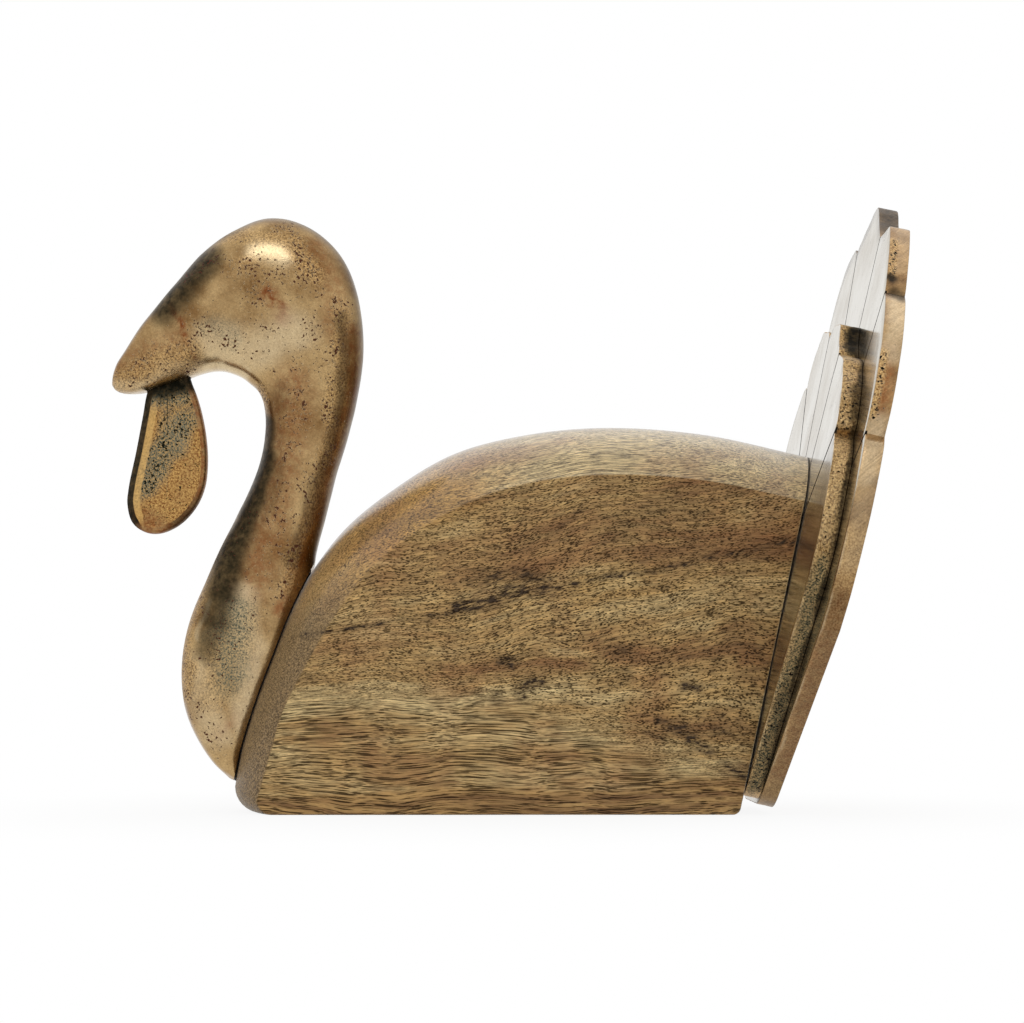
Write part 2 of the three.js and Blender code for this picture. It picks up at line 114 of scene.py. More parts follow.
class Nodes:
    """A node tree in the making, whose outputs have names that later nodes link to."""

    def __init__(self, tree: bpy.types.NodeTree) -> None:
        """Empties the tree."""
        tree.nodes.clear()
        self.tree = tree
        self.outputs: dict[str, bpy.types.NodeSocket] = {}

    def add(
        self,
        name: str,
        kind: str,
        sockets: dict | None = None,
        output: int | str = 0,
        stops: tuple = (),
        **settings,
    ) -> None:
        """Adds a node with its settings and links.

        Args:
            name: Name that its output gets.
            kind: The node's type, without the leading "ShaderNode".
            sockets: By an input's name or number, its value or the name of an output.
            output: Name or number of the output that is kept.
            stops: Place and hex colour of each stop of a colour ramp.
            **settings: Properties of the node.
        """
        node = self.tree.nodes.new("ShaderNode" + kind)
        for key, value in settings.items():
            setattr(node, key, value)
        for i, (place, code) in enumerate(stops):
            ramp = node.color_ramp.elements
            stop = ramp[i] if i < 2 else ramp.new(place)
            stop.position = place
            stop.color = linear(code)
        for key, value in (sockets or {}).items():
            if isinstance(value, str):
                self.tree.links.new(self.outputs[value], node.inputs[key])
            else:
                node.inputs[key].default_value = value
        if len(node.outputs):
            self.outputs[name] = node.outputs[output]


def start_material(name: str, fields: tuple[str, ...] = ()) -> tuple[bpy.types.Material, Nodes]:
    """Makes a material with its Object coordinates, as "place", and the fields that it reads.

    Args:
        name: The finish's name.
        fields: Names of the numbers stored at the vertices.

    Returns:
        The material and its nodes.
    """
    material = bpy.data.materials.new(name)
    material.use_nodes = True
    nodes = Nodes(material.node_tree)
    nodes.add("place", "TexCoord", output="Object")
    for field in fields:
        nodes.add(field, "Attribute", output="Fac", attribute_name=field)
    return material, nodes


# Curves, noise and painted strokes


def smooth_curve(points: np.ndarray, count: int, closed: bool = False) -> np.ndarray:
    """Samples a centripetal Catmull-Rom curve evenly in its parameter.

    Between two points the curve is the cubic that meets both with tangents worked out from
    the square roots of the distances to their neighbours.

    Args:
        points: The points it runs through, one per row.
        count: Number of steps.
        closed: Whether the last point joins the first.

    Returns:
        count + 1 points, or count points on a closed curve.
    """
    points = np.asarray(points, float)
    spans = len(points) if closed else len(points) - 1
    place = np.linspace(0, spans, count + 1)
    if closed:
        place = place[:-1]
        padded = np.concatenate([points[-1:], points, points[:2]])
    else:
        ends = 2 * points[0] - points[1], 2 * points[-1] - points[-2]
        padded = np.concatenate([ends[:1], points, ends[1:]])
    first = np.minimum(place.astype(int), spans - 1)
    share = (place - first)[:, None]
    a, b, c, d = (padded[first + k] for k in range(4))
    ab, bc, cd = (
        np.sqrt(np.linalg.norm(q - p, axis=1))[:, None] for p, q in ((a, b), (b, c), (c, d))
    )
    leave = ((b - a) / ab - (c - a) / (ab + bc) + (c - b) / bc) * bc
    meet = ((c - b) / bc - (d - b) / (bc + cd) + (d - c) / cd) * bc
    square = share**2 * (3 * (c - b) - 2 * leave - meet)
    return b + share * leave + square + share**3 * (2 * (b - c) + leave + meet)


def even_steps(points: np.ndarray, spacing: float) -> np.ndarray:
    """Walks along a line in equal steps and keeps both its ends.

    Args:
        points: The line, one point per row.
        spacing: Wanted length of a step.

    Returns:
        The points of the walk.
    """
    lengths = np.linalg.norm(np.diff(points, axis=0), axis=1)
    along = np.concatenate([[0], np.cumsum(lengths)])
    count = max(2, round(along[-1] / spacing) + 1)
    wanted = np.linspace(0, along[-1], count)
    return np.stack([np.interp(wanted, along, points[:, k]) for k in range(points.shape[1])], 1)


def lump_noise(points: np.ndarray, cell: float, seed: int) -> np.ndarray:
    """A smooth random field from -1 to 1.

    Each corner of a cubic lattice has a random value, and a smoothstep in each direction
    blends the eight values round a point.

    Args:
        points: Places in millimetres, one per row.
        cell: Size of a lattice cell.
        seed: Seed of the random values.

    Returns:
        The field at each place.
    """
    table = np.random.default_rng(seed).uniform(-1, 1, 4096)
    scaled = points / cell + 1000
    low = np.floor(scaled).astype(np.int64)
    part = scaled - low
    part = part * part * (3 - 2 * part)
    total = np.zeros(len(points))
    for corner in np.ndindex(2, 2, 2):
        key = (low + corner) @ np.array([73856093, 19349663, 83492791])
        weight = np.prod(np.where(np.array(corner, bool), part, 1 - part), axis=1)
        total += table[(key ^ (key >> 11)) % 4096] * weight
    return total


def ease(value: np.ndarray, low: float, high: float) -> np.ndarray:
    """A smoothstep from 0 at the low value to 1 at the high one."""
    share = np.clip((value - low) / (high - low), 0, 1)
    return share * share * (3 - 2 * share)


def left_of(line: np.ndarray) -> np.ndarray:
    """Directions square to a closed line, to the left of the way that it runs."""
    ahead = np.roll(line, -1, 0) - np.roll(line, 1, 0)
    left = np.stack([-ahead[:, 1], ahead[:, 0]], 1)
    return left / np.linalg.norm(left, axis=1, keepdims=True)


@dataclass(frozen=True)
class Stroke:
    """A soft stroke of wear, stain, pitting or painted light through points of a plane, in
    millimetres.
    """

    points: Pairs
    width: float
    strength: float

    def weight(self, x: np.ndarray, z: np.ndarray) -> np.ndarray:
        """Weight of the stroke: full on its line, and none a width away.

        Args:
            x: First coordinate of each place.
            z: Second coordinate of each place.

        Returns:
            The weight at each place.
        """
        nearest = np.full(len(x), np.inf)
        ends = self.points[1:] or self.points
        for (ax, az), (bx, bz) in zip(self.points, ends):
            dx, dz = bx - ax, bz - az
            length = max(dx * dx + dz * dz, 1e-9)
            share = np.clip(((x - ax) * dx + (z - az) * dz) / length, 0, 1)
            nearest = np.minimum(nearest, np.hypot(x - ax - share * dx, z - az - share * dz))
        return self.strength * (1 - ease(nearest / self.width, 0.2, 1))


Strokes = tuple[Stroke, ...]


def stroke_table(*rows: tuple) -> Strokes:
    """Strokes from rows of a width, a strength and the points."""
    return tuple(Stroke(tuple(points), width, strength) for width, strength, *points in rows)


def painted(places: np.ndarray, strokes: Strokes, wobble: float, seed: int) -> np.ndarray:
    """The strongest of several strokes on the side view, with edges that wander.

    Args:
        places: Places in millimetres, one per row; the strokes lie in x and z.
        strokes: The strokes.
        wobble: How far their edges wander.
        seed: Seed of the wander.

    Returns:
        The weight at each place.
    """
    x = places[:, 0] + wobble * lump_noise(places, 5, seed)
    z = places[:, 2] + wobble * lump_noise(places, 5, seed + 1)
    weights = [stroke.weight(x, z) for stroke in strokes]
    return np.max(weights, axis=0) if weights else np.zeros(len(places))


# Meshes


class Skin:
    """Gathers grids of points and the faces between them, and makes one mesh of them."""

    def __init__(self) -> None:
        """Starts with no points."""
        self.points: list[np.ndarray] = []
        self.faces: list[np.ndarray] = []
        self.finishes: list[np.ndarray] = []
        self.count = 0

    def grid(self, points: np.ndarray) -> np.ndarray:
        """Adds a grid of points.

        Args:
            points: The points, rows by columns by three.

        Returns:
            Their numbers, rows by columns.
        """
        shape = points.shape[:-1]
        self.points.append(points.reshape(-1, 3))
        numbers = np.arange(self.count, self.count + math.prod(shape)).reshape(shape)
        self.count += math.prod(shape)
        return numbers

    def weave(self, numbers: np.ndarray, finish: int = 0, flip: bool = False) -> None:
        """Fills a grid with four-sided faces.

        Args:
            numbers: Numbers of its points, with a repeated first row or column to close it.
            finish: Material number of the faces.
            flip: Whether to turn the faces over.
        """
        corners = (numbers[:-1, :-1], numbers[1:, :-1], numbers[1:, 1:], numbers[:-1, 1:])
        faces = np.stack([corner.ravel() for corner in corners], 1)
        self.keep(faces, finish, flip)

    def wrap(self, numbers: np.ndarray, finish: int = 0, flip: bool = False) -> None:
        """Fills a grid whose rows are closed rings."""
        self.weave(np.concatenate([numbers, numbers[:, :1]], 1), finish, flip)

    def cap(self, ring: np.ndarray, hub: int, finish: int = 0, flip: bool = False) -> None:
        """Closes a ring of points on a hub with triangles.

        Args:
            ring: Numbers of the ring's points.
            hub: Number of the hub.
            finish: Material number of the faces.
            flip: Whether to turn the faces over.
        """
        faces = np.stack([np.full(len(ring), hub), ring, np.roll(ring, -1)], 1)
        self.keep(faces, finish, flip)

    def keep(self, faces: np.ndarray, finish: int, flip: bool) -> None:
        """Keeps faces, turned over where asked."""
        self.faces.append(faces[:, ::-1] if flip else faces)
        self.finishes.append(np.full(len(faces), finish))

    def build(self, name: str) -> bpy.types.Object:
        """Makes the object, its points turned from millimetres to metres.

        Args:
            name: The piece's name.

        Returns:
            The object, at the origin.
        """
        mesh = bpy.data.meshes.new(name)
        faces = [face for block in self.faces for face in block.tolist()]
        mesh.from_pydata((np.concatenate(self.points) * MM).tolist(), [], faces)
        mesh.polygons.foreach_set("material_index", np.concatenate(self.finishes).astype(np.int32))
        mesh.update()
        thing = bpy.data.objects.new(name, mesh)
        bpy.context.collection.objects.link(thing)
        return thing


def places_of(thing: bpy.types.Object) -> np.ndarray:
    """Places of a mesh's vertices in millimetres, one per row."""
    flat = np.empty(len(thing.data.vertices) * 3)
    thing.data.vertices.foreach_get("co", flat)
    return flat.reshape(-1, 3) / MM


def put_fields(thing: bpy.types.Object, **fields: np.ndarray) -> None:
    """Stores numbers at a mesh's vertices, under the names that materials read.

    Args:
        thing: The piece.
        **fields: Numbers by name, one per vertex.
    """
    stored = thing.data.attributes
    for name, values in fields.items():
        layer = stored.get(name) or stored.new(name, "FLOAT", "POINT")
        layer.data.foreach_set("value", values.astype(np.float32))


def get_field(thing: bpy.types.Object, name: str) -> np.ndarray:
    """Reads one number per vertex stored under a name."""
    values = np.empty(len(thing.data.vertices), np.float32)
    thing.data.attributes[name].data.foreach_get("value", values)
    return values


class Cut(Enum):
    """What is kept of a piece that another solid crosses."""

    OUTSIDE = "DIFFERENCE"
    INSIDE = "INTERSECT"


def carve(target: bpy.types.Object, cutter: bpy.types.Object, cut_to: Cut = Cut.OUTSIDE) -> None:
    """Cuts a piece with another solid, works the cut into its mesh and drops the cutter.

    Args:
        target: The piece that is cut.
        cutter: The other solid.
        cut_to: Which part of the piece stays.
    """
    cut = target.modifiers.new("cut", "BOOLEAN")
    cut.operation = cut_to.value
    cut.solver = "MANIFOLD"
    cut.material_mode = "TRANSFER"
    cut.object = cutter
    bpy.context.view_layer.update()
    made = target.evaluated_get(bpy.context.evaluated_depsgraph_get())
    mesh = bpy.data.meshes.new_from_object(made)
    target.modifiers.clear()
    target.data = mesh
    bpy.data.objects.remove(cutter)


def finish_piece(
    thing: bpy.types.Object,
    finishes: tuple[bpy.types.Material, ...],
    node: str | None,
    crease: float,
) -> None:
    """Dresses a finished piece and puts it in the place of its solid.

    Args:
        thing: The piece.
        finishes: Its materials, in the order of the faces' numbers.
        node: Name of the solid that it stands for, if any.
        crease: Angle in degrees past which an edge stays crisp.
    """
    thing.data.materials.clear()
    for finish in finishes:
        thing.data.materials.append(finish)
    thing.data.shade_smooth()
    thing.data.set_sharp_from_angle(angle=math.radians(crease))
    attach(thing, "root")
    if node:
        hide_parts(node)


# Finishes


@dataclass(frozen=True)
class MangoWood:
    """Mango wood, sawn, sanded and oiled.

    It gives the eye open pores as short dark dashes along the grain, wandering tan and brown
    figure, grey-black mineral stains and a low satin gloss.
    """

    pale: str = "#d9be88"
    middle: str = "#b8955f"
    deep: str = "#926c42"
    reddish: str = "#9a643c"
    honey: str = "#c39449"
    pore: str = "#20140a"
    stain: str = "#35240f"
    heart_deep: str = "#7a5530"
    heart_pale: str = "#c29a60"
    end_deep: str = "#574226"
    end_pale: str = "#a3865b"
    pore_size: Pair = (1.1, 0.4)
    line_size: Pair = (11.0, 0.4)
    figure: float = 9.0

    def build(self) -> bpy.types.Material:
        """Makes the material from the shares that the block stores at its vertices."""
        fields = ("rise", "stain", "straight", "heart", "bright", "warm", "end", "polish")
        material, nodes = start_material("oiled_mango_wood", fields)

        # The grain climbs through the block and drifts in waves of 38 mm
        waves = {"Scale": per_mm(38), "Detail": 1.6, "Roughness": 0.45}
        bend = {0: "drift", 1: (0.0, 0.006, 0.010), 2: "sloped"}
        nodes.add("climb", "CombineXYZ", {"Z": "rise"})
        nodes.add("sloped", "VectorMath", {0: "place", 1: "climb"}, operation="SUBTRACT")
        nodes.add("drift", "TexNoise", {"Vector": "place", **waves}, "Color")
        nodes.add("bent", "VectorMath", bend, operation="MULTIPLY_ADD")

        # Patterns drawn out along the grain, by the length and width of their features: noises
        # with their detail, and cells round random points for the pores and the long lines
        pore_length, pore_width = self.pore_size
        line_length, line_width = self.line_size
        for name, length, width, detail in (
            ("bands", 60, self.figure, 6.0),
            ("fibres", 12, 0.34, 4.0),
            ("heart_lines", 50, 1.6, 4.0),
            ("short_marks", pore_length * 1.6, pore_width * 0.8, 2.0),
            ("long_marks", line_length * 1.6, line_width * 0.8, 2.0),
            ("clouds", 22, 22, 5.0),
            ("density", 6, 6, 3.0),
            ("fleck", 3.2, 1.0, 5.0),
            ("grit", 0.6, 0.6, 2.0),
            ("pore_cells", pore_length, pore_width, None),
            ("line_cells", line_length, line_width, None),
        ):
            size = per_mm(length), per_mm(width), per_mm(width)
            nodes.add("drawn", "Mapping", {"Vector": "bent", "Scale": size})
            pattern = {"Vector": "drawn", "Scale": 1.0}
            if detail is None:
                nodes.add(name, "TexVoronoi", pattern, "Distance")
            else:
                nodes.add(name, "TexNoise", {**pattern, "Detail": detail, "Roughness": 0.6})

        # Shares and gains, each from a pattern's range to its own
        for name, source, low, high, first, last in (
            ("fibre_gain", "fibres", 0.36, 0.64, 0.58, 1.36),
            ("blush", "clouds", 0.48, 0.66, 0.0, 0.38),
            ("fleck_share", "fleck", 0.4, 0.6, 0.05, 1.4),
            ("fleck_gain", "fleck", 0.33, 0.67, 0.8, 1.16),
            ("reach", "density", 0.36, 0.64, 0.24, 0.42),
            ("short_dashes", "short_marks", 0.46, 0.39, 0.0, 0.9),
            ("long_dashes", "long_marks", 0.46, 0.4, 0.0, 0.95),
            ("bare_end", "end", 0.0, 1.0, 0.9, 0.45),
            ("unblushed", "end", 0.0, 1.0, 1.0, 0.0),
        ):
            ends = {"From Min": low, "From Max": high, "To Min": first, "To Max": last}
            nodes.add(name, "MapRange", {"Value": source, **ends})
        for name, cells, dashes in (
            ("pores", "pore_cells", "short_dashes"),
            ("lines", "line_cells", "long_dashes"),
        ):
            nodes.add("inside", "Math", {0: "reach", 1: cells}, operation="SUBTRACT")
            nodes.add("dot", "MapRange", {"Value": "inside", "From Min": -0.02, "From Max": 0.08})
            nodes.add(name, "Math", {0: "dot", 1: dashes}, operation="MAXIMUM")
        nodes.add("dashes", "Mix", {0: "straight", 2: "pores", 3: "lines"}, data_type="FLOAT")
        for name, one, two in (
            ("pore", "dashes", "bare_end"),
            ("blushed", "blush", "unblushed"),
            ("stained", "stain", "fleck_share"),
        ):
            nodes.add(name, "Math", {0: one, 1: two}, operation="MULTIPLY", use_clamp=True)

        # Colours of the figure, of the heartwood strip and of the end grain, and their layers
        # The figure is lifted by the bright share. It holds the wood's pale streaks and dark
        # clouds, and painted light that makes the top of the rounded back paler
        lift = {0: "bright", 1: 0.2, 2: "bands"}
        nodes.add("lifted", "Math", lift, operation="MULTIPLY_ADD")
        for name, source, stops in (
            ("colour", "lifted", ((0.32, self.deep), (0.48, self.middle), (0.68, self.pale))),
            ("heartwood", "heart_lines", ((0.36, self.heart_deep), (0.64, self.heart_pale))),
            ("end_grain", "grit", ((0.36, self.end_deep), (0.6, self.end_pale))),
        ):
            nodes.add(name, "ValToRGB", {"Fac": source}, "Color", stops)
        for share, over, blend in (
            ("warm", linear(self.honey), "MIX"),
            (1.0, "fibre_gain", "MULTIPLY"),
            ("blushed", linear(self.reddish), "MIX"),
            ("heart", "heartwood", "MIX"),
            ("end", "end_grain", "MIX"),
            (1.0, "fleck_gain", "MULTIPLY"),
            ("stained", linear(self.stain), "MIX"),
            ("pore", linear(self.pore), "MIX"),
        ):
            layer = {0: share, 6: "colour", 7: over}
            nodes.add("colour", "Mix", layer, 2, data_type="RGBA", blend_type=blend)

        # Pores are dull and sunk, and only the rounded back is polished
        for name, source, first, last in (
            ("rough", "pore", 0.45, 0.85),
            ("shine", "pore", 0.3, 0.05),
            ("coat", "polish", 0.05, 1.0),
            ("bloom", "polish", 0.1, 0.9),
        ):
            nodes.add(name, "MapRange", {"Value": source, "To Min": first, "To Max": last})
        nodes.add("relief", "Math", {0: "pore", 1: -1.0, 2: "fibres"}, operation="MULTIPLY_ADD")
        nodes.add("bump", "Bump", {"Height": "relief", "Distance": 0.12 * MM, "Strength": 0.6})
        shader = {"Base Color": "colour", "Roughness": "rough", "IOR": 1.46, "Normal": "bump"}
        shader |= {"Specular IOR Level": "shine", "Coat Weight": "coat", "Coat Roughness": 0.22}
        shader |= {"Sheen Weight": "bloom", "Sheen Roughness": 0.25}
        nodes.add("surface", "BsdfPrincipled", shader)
        nodes.add("out", "OutputMaterial", {"Surface": "surface"})
        return material


@dataclass(frozen=True)
class AntiqueBrass:
    """Brass, sand cast, darkened with an antiquing bath, and rubbed back by hand.

    It gives the eye warm golden brown metal with soft highlights, copper and olive clouds,
    a near-black film where the rubbing didn't reach, a sandy grain where the skin is as cast,
    and clusters of open casting pits. The film share also carries painted dark reflections,
    and the worn share, in part, and the lips round the pits carry painted highlights.
    """

    name: str = "rubbed_antique_brass"
    golden: str = "#b89a6c"
    brown: str = "#80603b"
    copper: str = "#7f4b2a"
    film: str = "#2e281b"
    verdigris: str = "#737563"
    verdigris_deep: str = "#3c443a"
    grain_low: str = "#4e3520"
    grain_high: str = "#cfa970"
    pit: str = "#553424"
    worn: str = "#d6c19b"
    grain: float = 0.5
    pit_size: float = 0.8
    cloud: float = 13.0
    gloss: float = 0.18
    relief: float = 0.35
    grinding: float = 0.0

    def build(self) -> bpy.types.Material:
        """Makes the material from the wear that a piece stores at its vertices."""
        fields = ("film", "pits", "copper", "green", "worn", "grain")
        material, nodes = start_material(self.name, fields)

        # Noises by the size of their features: clouds of tone, a mottle that breaks up every
        # edge, the sand of the mould and the pits; then the grinding marks, lines 0.4 mm wide
        for name, size, detail, roughness in (
            ("clouds", self.cloud, 6.0, 0.6),
            ("mottle", 1.7, 5.0, 0.6),
            ("sand", self.grain, 3.0, 0.7),
            ("holes", self.pit_size, 3.0, 0.5),
        ):
            noise = {"Scale": per_mm(size), "Detail": detail, "Roughness": roughness}
            nodes.add(name, "TexNoise", {"Vector": "place", **noise})
        turn = 0.0, math.radians(38), 0.0
        size = per_mm(9), per_mm(3), per_mm(0.4)
        nodes.add("turned", "Mapping", {"Vector": "place", "Rotation": turn})
        nodes.add("drawn", "Mapping", {"Vector": "turned", "Scale": size})
        nodes.add("marks", "TexNoise", {"Vector": "drawn", "Scale": 1.0, "Detail": 2.0})

        # Shares and gains, each from a noise's range to its own
        for name, source, low, high, first, last in (
            ("broken", "mottle", 0.38, 0.62, 0.3, 1.25),
            ("soft", "mottle", 0.3, 0.7, 0.8, 1.1),
            ("clustered", "mottle", 0.38, 0.6, 0.45, 1.3),
            ("trace", "sand", 0.35, 0.65, 0.82, 1.13),
            ("flecks", "sand", 0.4, 0.56, 1.1, 0.3),
            ("haze", "clouds", 0.3, 0.7, -0.04, 0.06),
            ("scoring", "marks", 0.35, 0.65, 1 - 0.12 * self.grinding, 1 + 0.1 * self.grinding),
        ):
            ends = {"From Min": low, "From Max": high, "To Min": first, "To Max": last}
            nodes.add(name, "MapRange", {"Value": source, **ends})
        for name, one, two in (
            ("rust", "copper", "broken"),
            ("bare", "worn", "soft"),
            ("dark", "film", "soft"),
            ("bloom", "green", "flecks"),
            ("crowd", "pits", "clustered"),
        ):
            nodes.add(name, "Math", {0: one, 1: two}, operation="MULTIPLY", use_clamp=True)

        # Open pits: the high spots of the holes' noise, more and larger where they crowd,
        # each with a bright lip, a painted highlight, where no film lies
        nodes.add("risen", "Math", {0: "crowd", 1: 0.17, 2: "holes"}, operation="MULTIPLY_ADD")
        nodes.add("pit", "MapRange", {"Value": "risen", "From Min": 0.715, "From Max": 0.75})
        lip_highlight = {"From Min": 0.67, "From Max": 0.72, "To Max": 0.45}
        nodes.add("lip_highlight", "MapRange", {"Value": "risen", **lip_highlight})

        # Layers of colour from the rubbed metal up to the pits
        for name, source, stops in (
            ("colour", "clouds", ((0.36, self.brown), (0.62, self.golden))),
            ("sanded", "sand", ((0.38, self.grain_low), (0.6, self.grain_high))),
            ("patina", "sand", ((0.36, self.verdigris_deep), (0.44, self.verdigris))),
        ):
            nodes.add(name, "ValToRGB", {"Fac": source}, "Color", stops)
        # The worn layer is partly painted highlight, the lip layer is painted highlight, and the
        # dark film layer is partly painted dark reflection
        for share, over, blend in (
            ("rust", linear(self.copper), "MIX"),
            ("bare", linear(self.worn), "MIX"),
            (1.0, "scoring", "MULTIPLY"),
            (1.0, "trace", "MULTIPLY"),
            ("grain", "sanded", "MIX"),
            ("lip_highlight", linear(self.worn), "MIX"),
            ("bloom", "patina", "MIX"),
            ("dark", linear(self.film), "MIX"),
            ("pit", linear(self.pit), "MIX"),
        ):
            layer = {0: share, 6: "colour", 7: over}
            nodes.add("colour", "Mix", layer, 2, data_type="RGBA", blend_type=blend)

        # Film, patina, pits and sand are dull; the sand stands out and the pits are sunk
        nodes.add("dulled", "Math", {0: "dark", 1: "bloom"}, operation="ADD")
        nodes.add("dull", "Math", {0: "dulled", 1: "pit"}, operation="ADD", use_clamp=True)
        for name, one, gain, other in (
            ("coarse", "grain", 0.25, self.gloss),
            ("hazed", "dull", 0.25, "haze"),
            ("skin", "sand", "grain", 0.0),
            ("waves", "mottle", 0.16, "skin"),
            ("scored", "marks", 0.3 * self.grinding, "waves"),
            ("height", "pit", -1.0, "scored"),
        ):
            nodes.add(name, "Math", {0: one, 1: gain, 2: other}, operation="MULTIPLY_ADD")
        nodes.add("rough", "Math", {0: "hazed", 1: "coarse"}, operation="ADD")
        sunk = {"Height": "height", "Distance": self.relief * MM, "Strength": 0.8}
        metal = {"Base Color": "colour", "Metallic": 1.0, "Roughness": "rough", "Normal": "bump"}
        nodes.add("bump", "Bump", sunk)
        nodes.add("surface", "BsdfPrincipled", metal)
        nodes.add("out", "OutputMaterial", {"Surface": "surface"})
        return material


@dataclass(frozen=True)
class BrushedPlateBrass:
    """The broad faces of the tail plates: brass, cast and then linished with a belt.

    It gives the eye a smooth warm metal with faint scratches up the feathers, darker clouds
    towards the middle and a few small pits, and it mirrors its surroundings at low angles. Its
    film share gives an even film on the rear faces and, low on the front faces, a painted
    reflection of the wooden block.
    """

    name: str = "linished_plate_brass"
    golden: str = "#c3bcac"
    brown: str = "#ab9f89"
    film: str = "#4c3a26"
    pit: str = "#3a2a1c"
    scratch_length: float = 22.0
    scratch_width: float = 0.35
    cloud: float = 24.0

    def build(self) -> bpy.types.Material:
        """Makes the material from the film and painted reflection a plate stores per vertex."""
        material, nodes = start_material(self.name, ("film",))
        size = per_mm(2), per_mm(self.scratch_width), per_mm(self.scratch_length)
        clouds = {"Scale": per_mm(self.cloud), "Detail": 6.0, "Roughness": 0.62}
        nodes.add("drawn", "Mapping", {"Vector": "place", "Scale": size})
        nodes.add("clouds", "TexNoise", {"Vector": "place", **clouds})
        nodes.add("scratches", "TexNoise", {"Vector": "drawn", "Scale": 1.0, "Detail": 3.0})
        nodes.add("pocks", "TexNoise", {"Vector": "place", "Scale": per_mm(1.6), "Detail": 3.0})
        for name, source, low, high, first, last in (
            ("scratch_gain", "scratches", 0.3, 0.7, 0.94, 1.05),
            ("film_edge", "clouds", 0.35, 0.65, 1.2, 0.5),
            ("pit", "pocks", 0.69, 0.73, 0.0, 1.0),
            ("rough", "clouds", 0.3, 0.7, 0.2, 0.13),
        ):
            ends = {"From Min": low, "From Max": high, "To Min": first, "To Max": last}
            nodes.add(name, "MapRange", {"Value": source, **ends})
        filmed = {0: "film", 1: "film_edge"}
        tones = (0.36, self.brown), (0.6, self.golden)
        nodes.add("filmed", "Math", filmed, operation="MULTIPLY", use_clamp=True)
        nodes.add("colour", "ValToRGB", {"Fac": "clouds"}, "Color", tones)
        for share, over, blend in (
            (1.0, "scratch_gain", "MULTIPLY"),
            ("filmed", linear(self.film), "MIX"),
            ("pit", linear(self.pit), "MIX"),
        ):
            layer = {0: share, 6: "colour", 7: over}
            nodes.add("colour", "Mix", layer, 2, data_type="RGBA", blend_type=blend)
        nodes.add("height", "Math", {0: "pit", 1: -4.0, 2: "scratches"}, operation="MULTIPLY_ADD")
        nodes.add("bump", "Bump", {"Height": "height", "Distance": 0.02 * MM, "Strength": 0.25})
        metal = {"Base Color": "colour", "Metallic": 1.0, "Roughness": "rough", "Normal": "bump"}
        nodes.add("surface", "BsdfPrincipled", metal)
        nodes.add("out", "OutputMaterial", {"Surface": "surface"})
        return material


@dataclass(frozen=True)
class CutOxide:
    """Oxide in the saw cuts between the feathers: a dull brown-black that gives dark lines."""

    colour: str = "#1c1611"
    bloom: str = "#33291d"

    def build(self) -> bpy.types.Material:
        """Makes the material."""
        material, nodes = start_material("oxide_in_saw_cuts")
        tones = (0.4, self.colour), (0.75, self.bloom)
        nodes.add("dust", "TexNoise", {"Vector": "place", "Scale": per_mm(2), "Detail": 3.0})
        nodes.add("colour", "ValToRGB", {"Fac": "dust"}, "Color", tones)
        shader = {"Base Color": "colour", "Metallic": 0.3, "Roughness": 0.8}
        nodes.add("surface", "BsdfPrincipled", shader)
        nodes.add("out", "OutputMaterial", {"Surface": "surface"})
        return material


@dataclass(frozen=True)
class DarkEpoxy:
    """Filled epoxy in the joint under the neck: brown-black, with a slight dusty unevenness."""

    colour: str = "#17120e"
    dust: str = "#2c241c"

    def build(self) -> bpy.types.Material:
        """Makes the material."""
        material, nodes = start_material("dark_filled_epoxy")
        tones = (0.45, self.colour), (0.75, self.dust)
        nodes.add("dust", "TexNoise", {"Vector": "place", "Scale": per_mm(1.5), "Detail": 3.0})
        nodes.add("colour", "ValToRGB", {"Fac": "dust"}, "Color", tones)
        nodes.add("bump", "Bump", {"Height": "dust", "Distance": 0.05 * MM, "Strength": 0.5})
        shader = {"Base Color": "colour", "Roughness": 0.6, "IOR": 1.55, "Normal": "bump"}
        nodes.add("surface", "BsdfPrincipled", shader)
        nodes.add("out", "OutputMaterial", {"Surface": "surface"})
        return material


@dataclass(frozen=True)
class ZincSteel:
    """Steel, cold headed and zinc plated: a cool grey metal with a soft blotchy bloom."""

    bright: str = "#b4b3ae"
    dull: str = "#86857f"

    def build(self) -> bpy.types.Material:
        """Makes the material."""
        material, nodes = start_material("zinc_plated_steel")
        tones = (0.35, self.dull), (0.65, self.bright)
        ends = {"From Min": 0.3, "From Max": 0.7, "To Min": 0.42, "To Max": 0.28}
        nodes.add("bloom", "TexNoise", {"Vector": "place", "Scale": per_mm(3), "Detail": 4.0})
        nodes.add("colour", "ValToRGB", {"Fac": "bloom"}, "Color", tones)
        nodes.add("rough", "MapRange", {"Value": "bloom", **ends})
        nodes.add("bump", "Bump", {"Height": "bloom", "Distance": 0.02 * MM, "Strength": 0.5})
        metal = {"Base Color": "colour", "Metallic": 1.0, "Roughness": "rough", "Normal": "bump"}
        nodes.add("surface", "BsdfPrincipled", metal)
        nodes.add("out", "OutputMaterial", {"Surface": "surface"})
        return material


# Wooden block


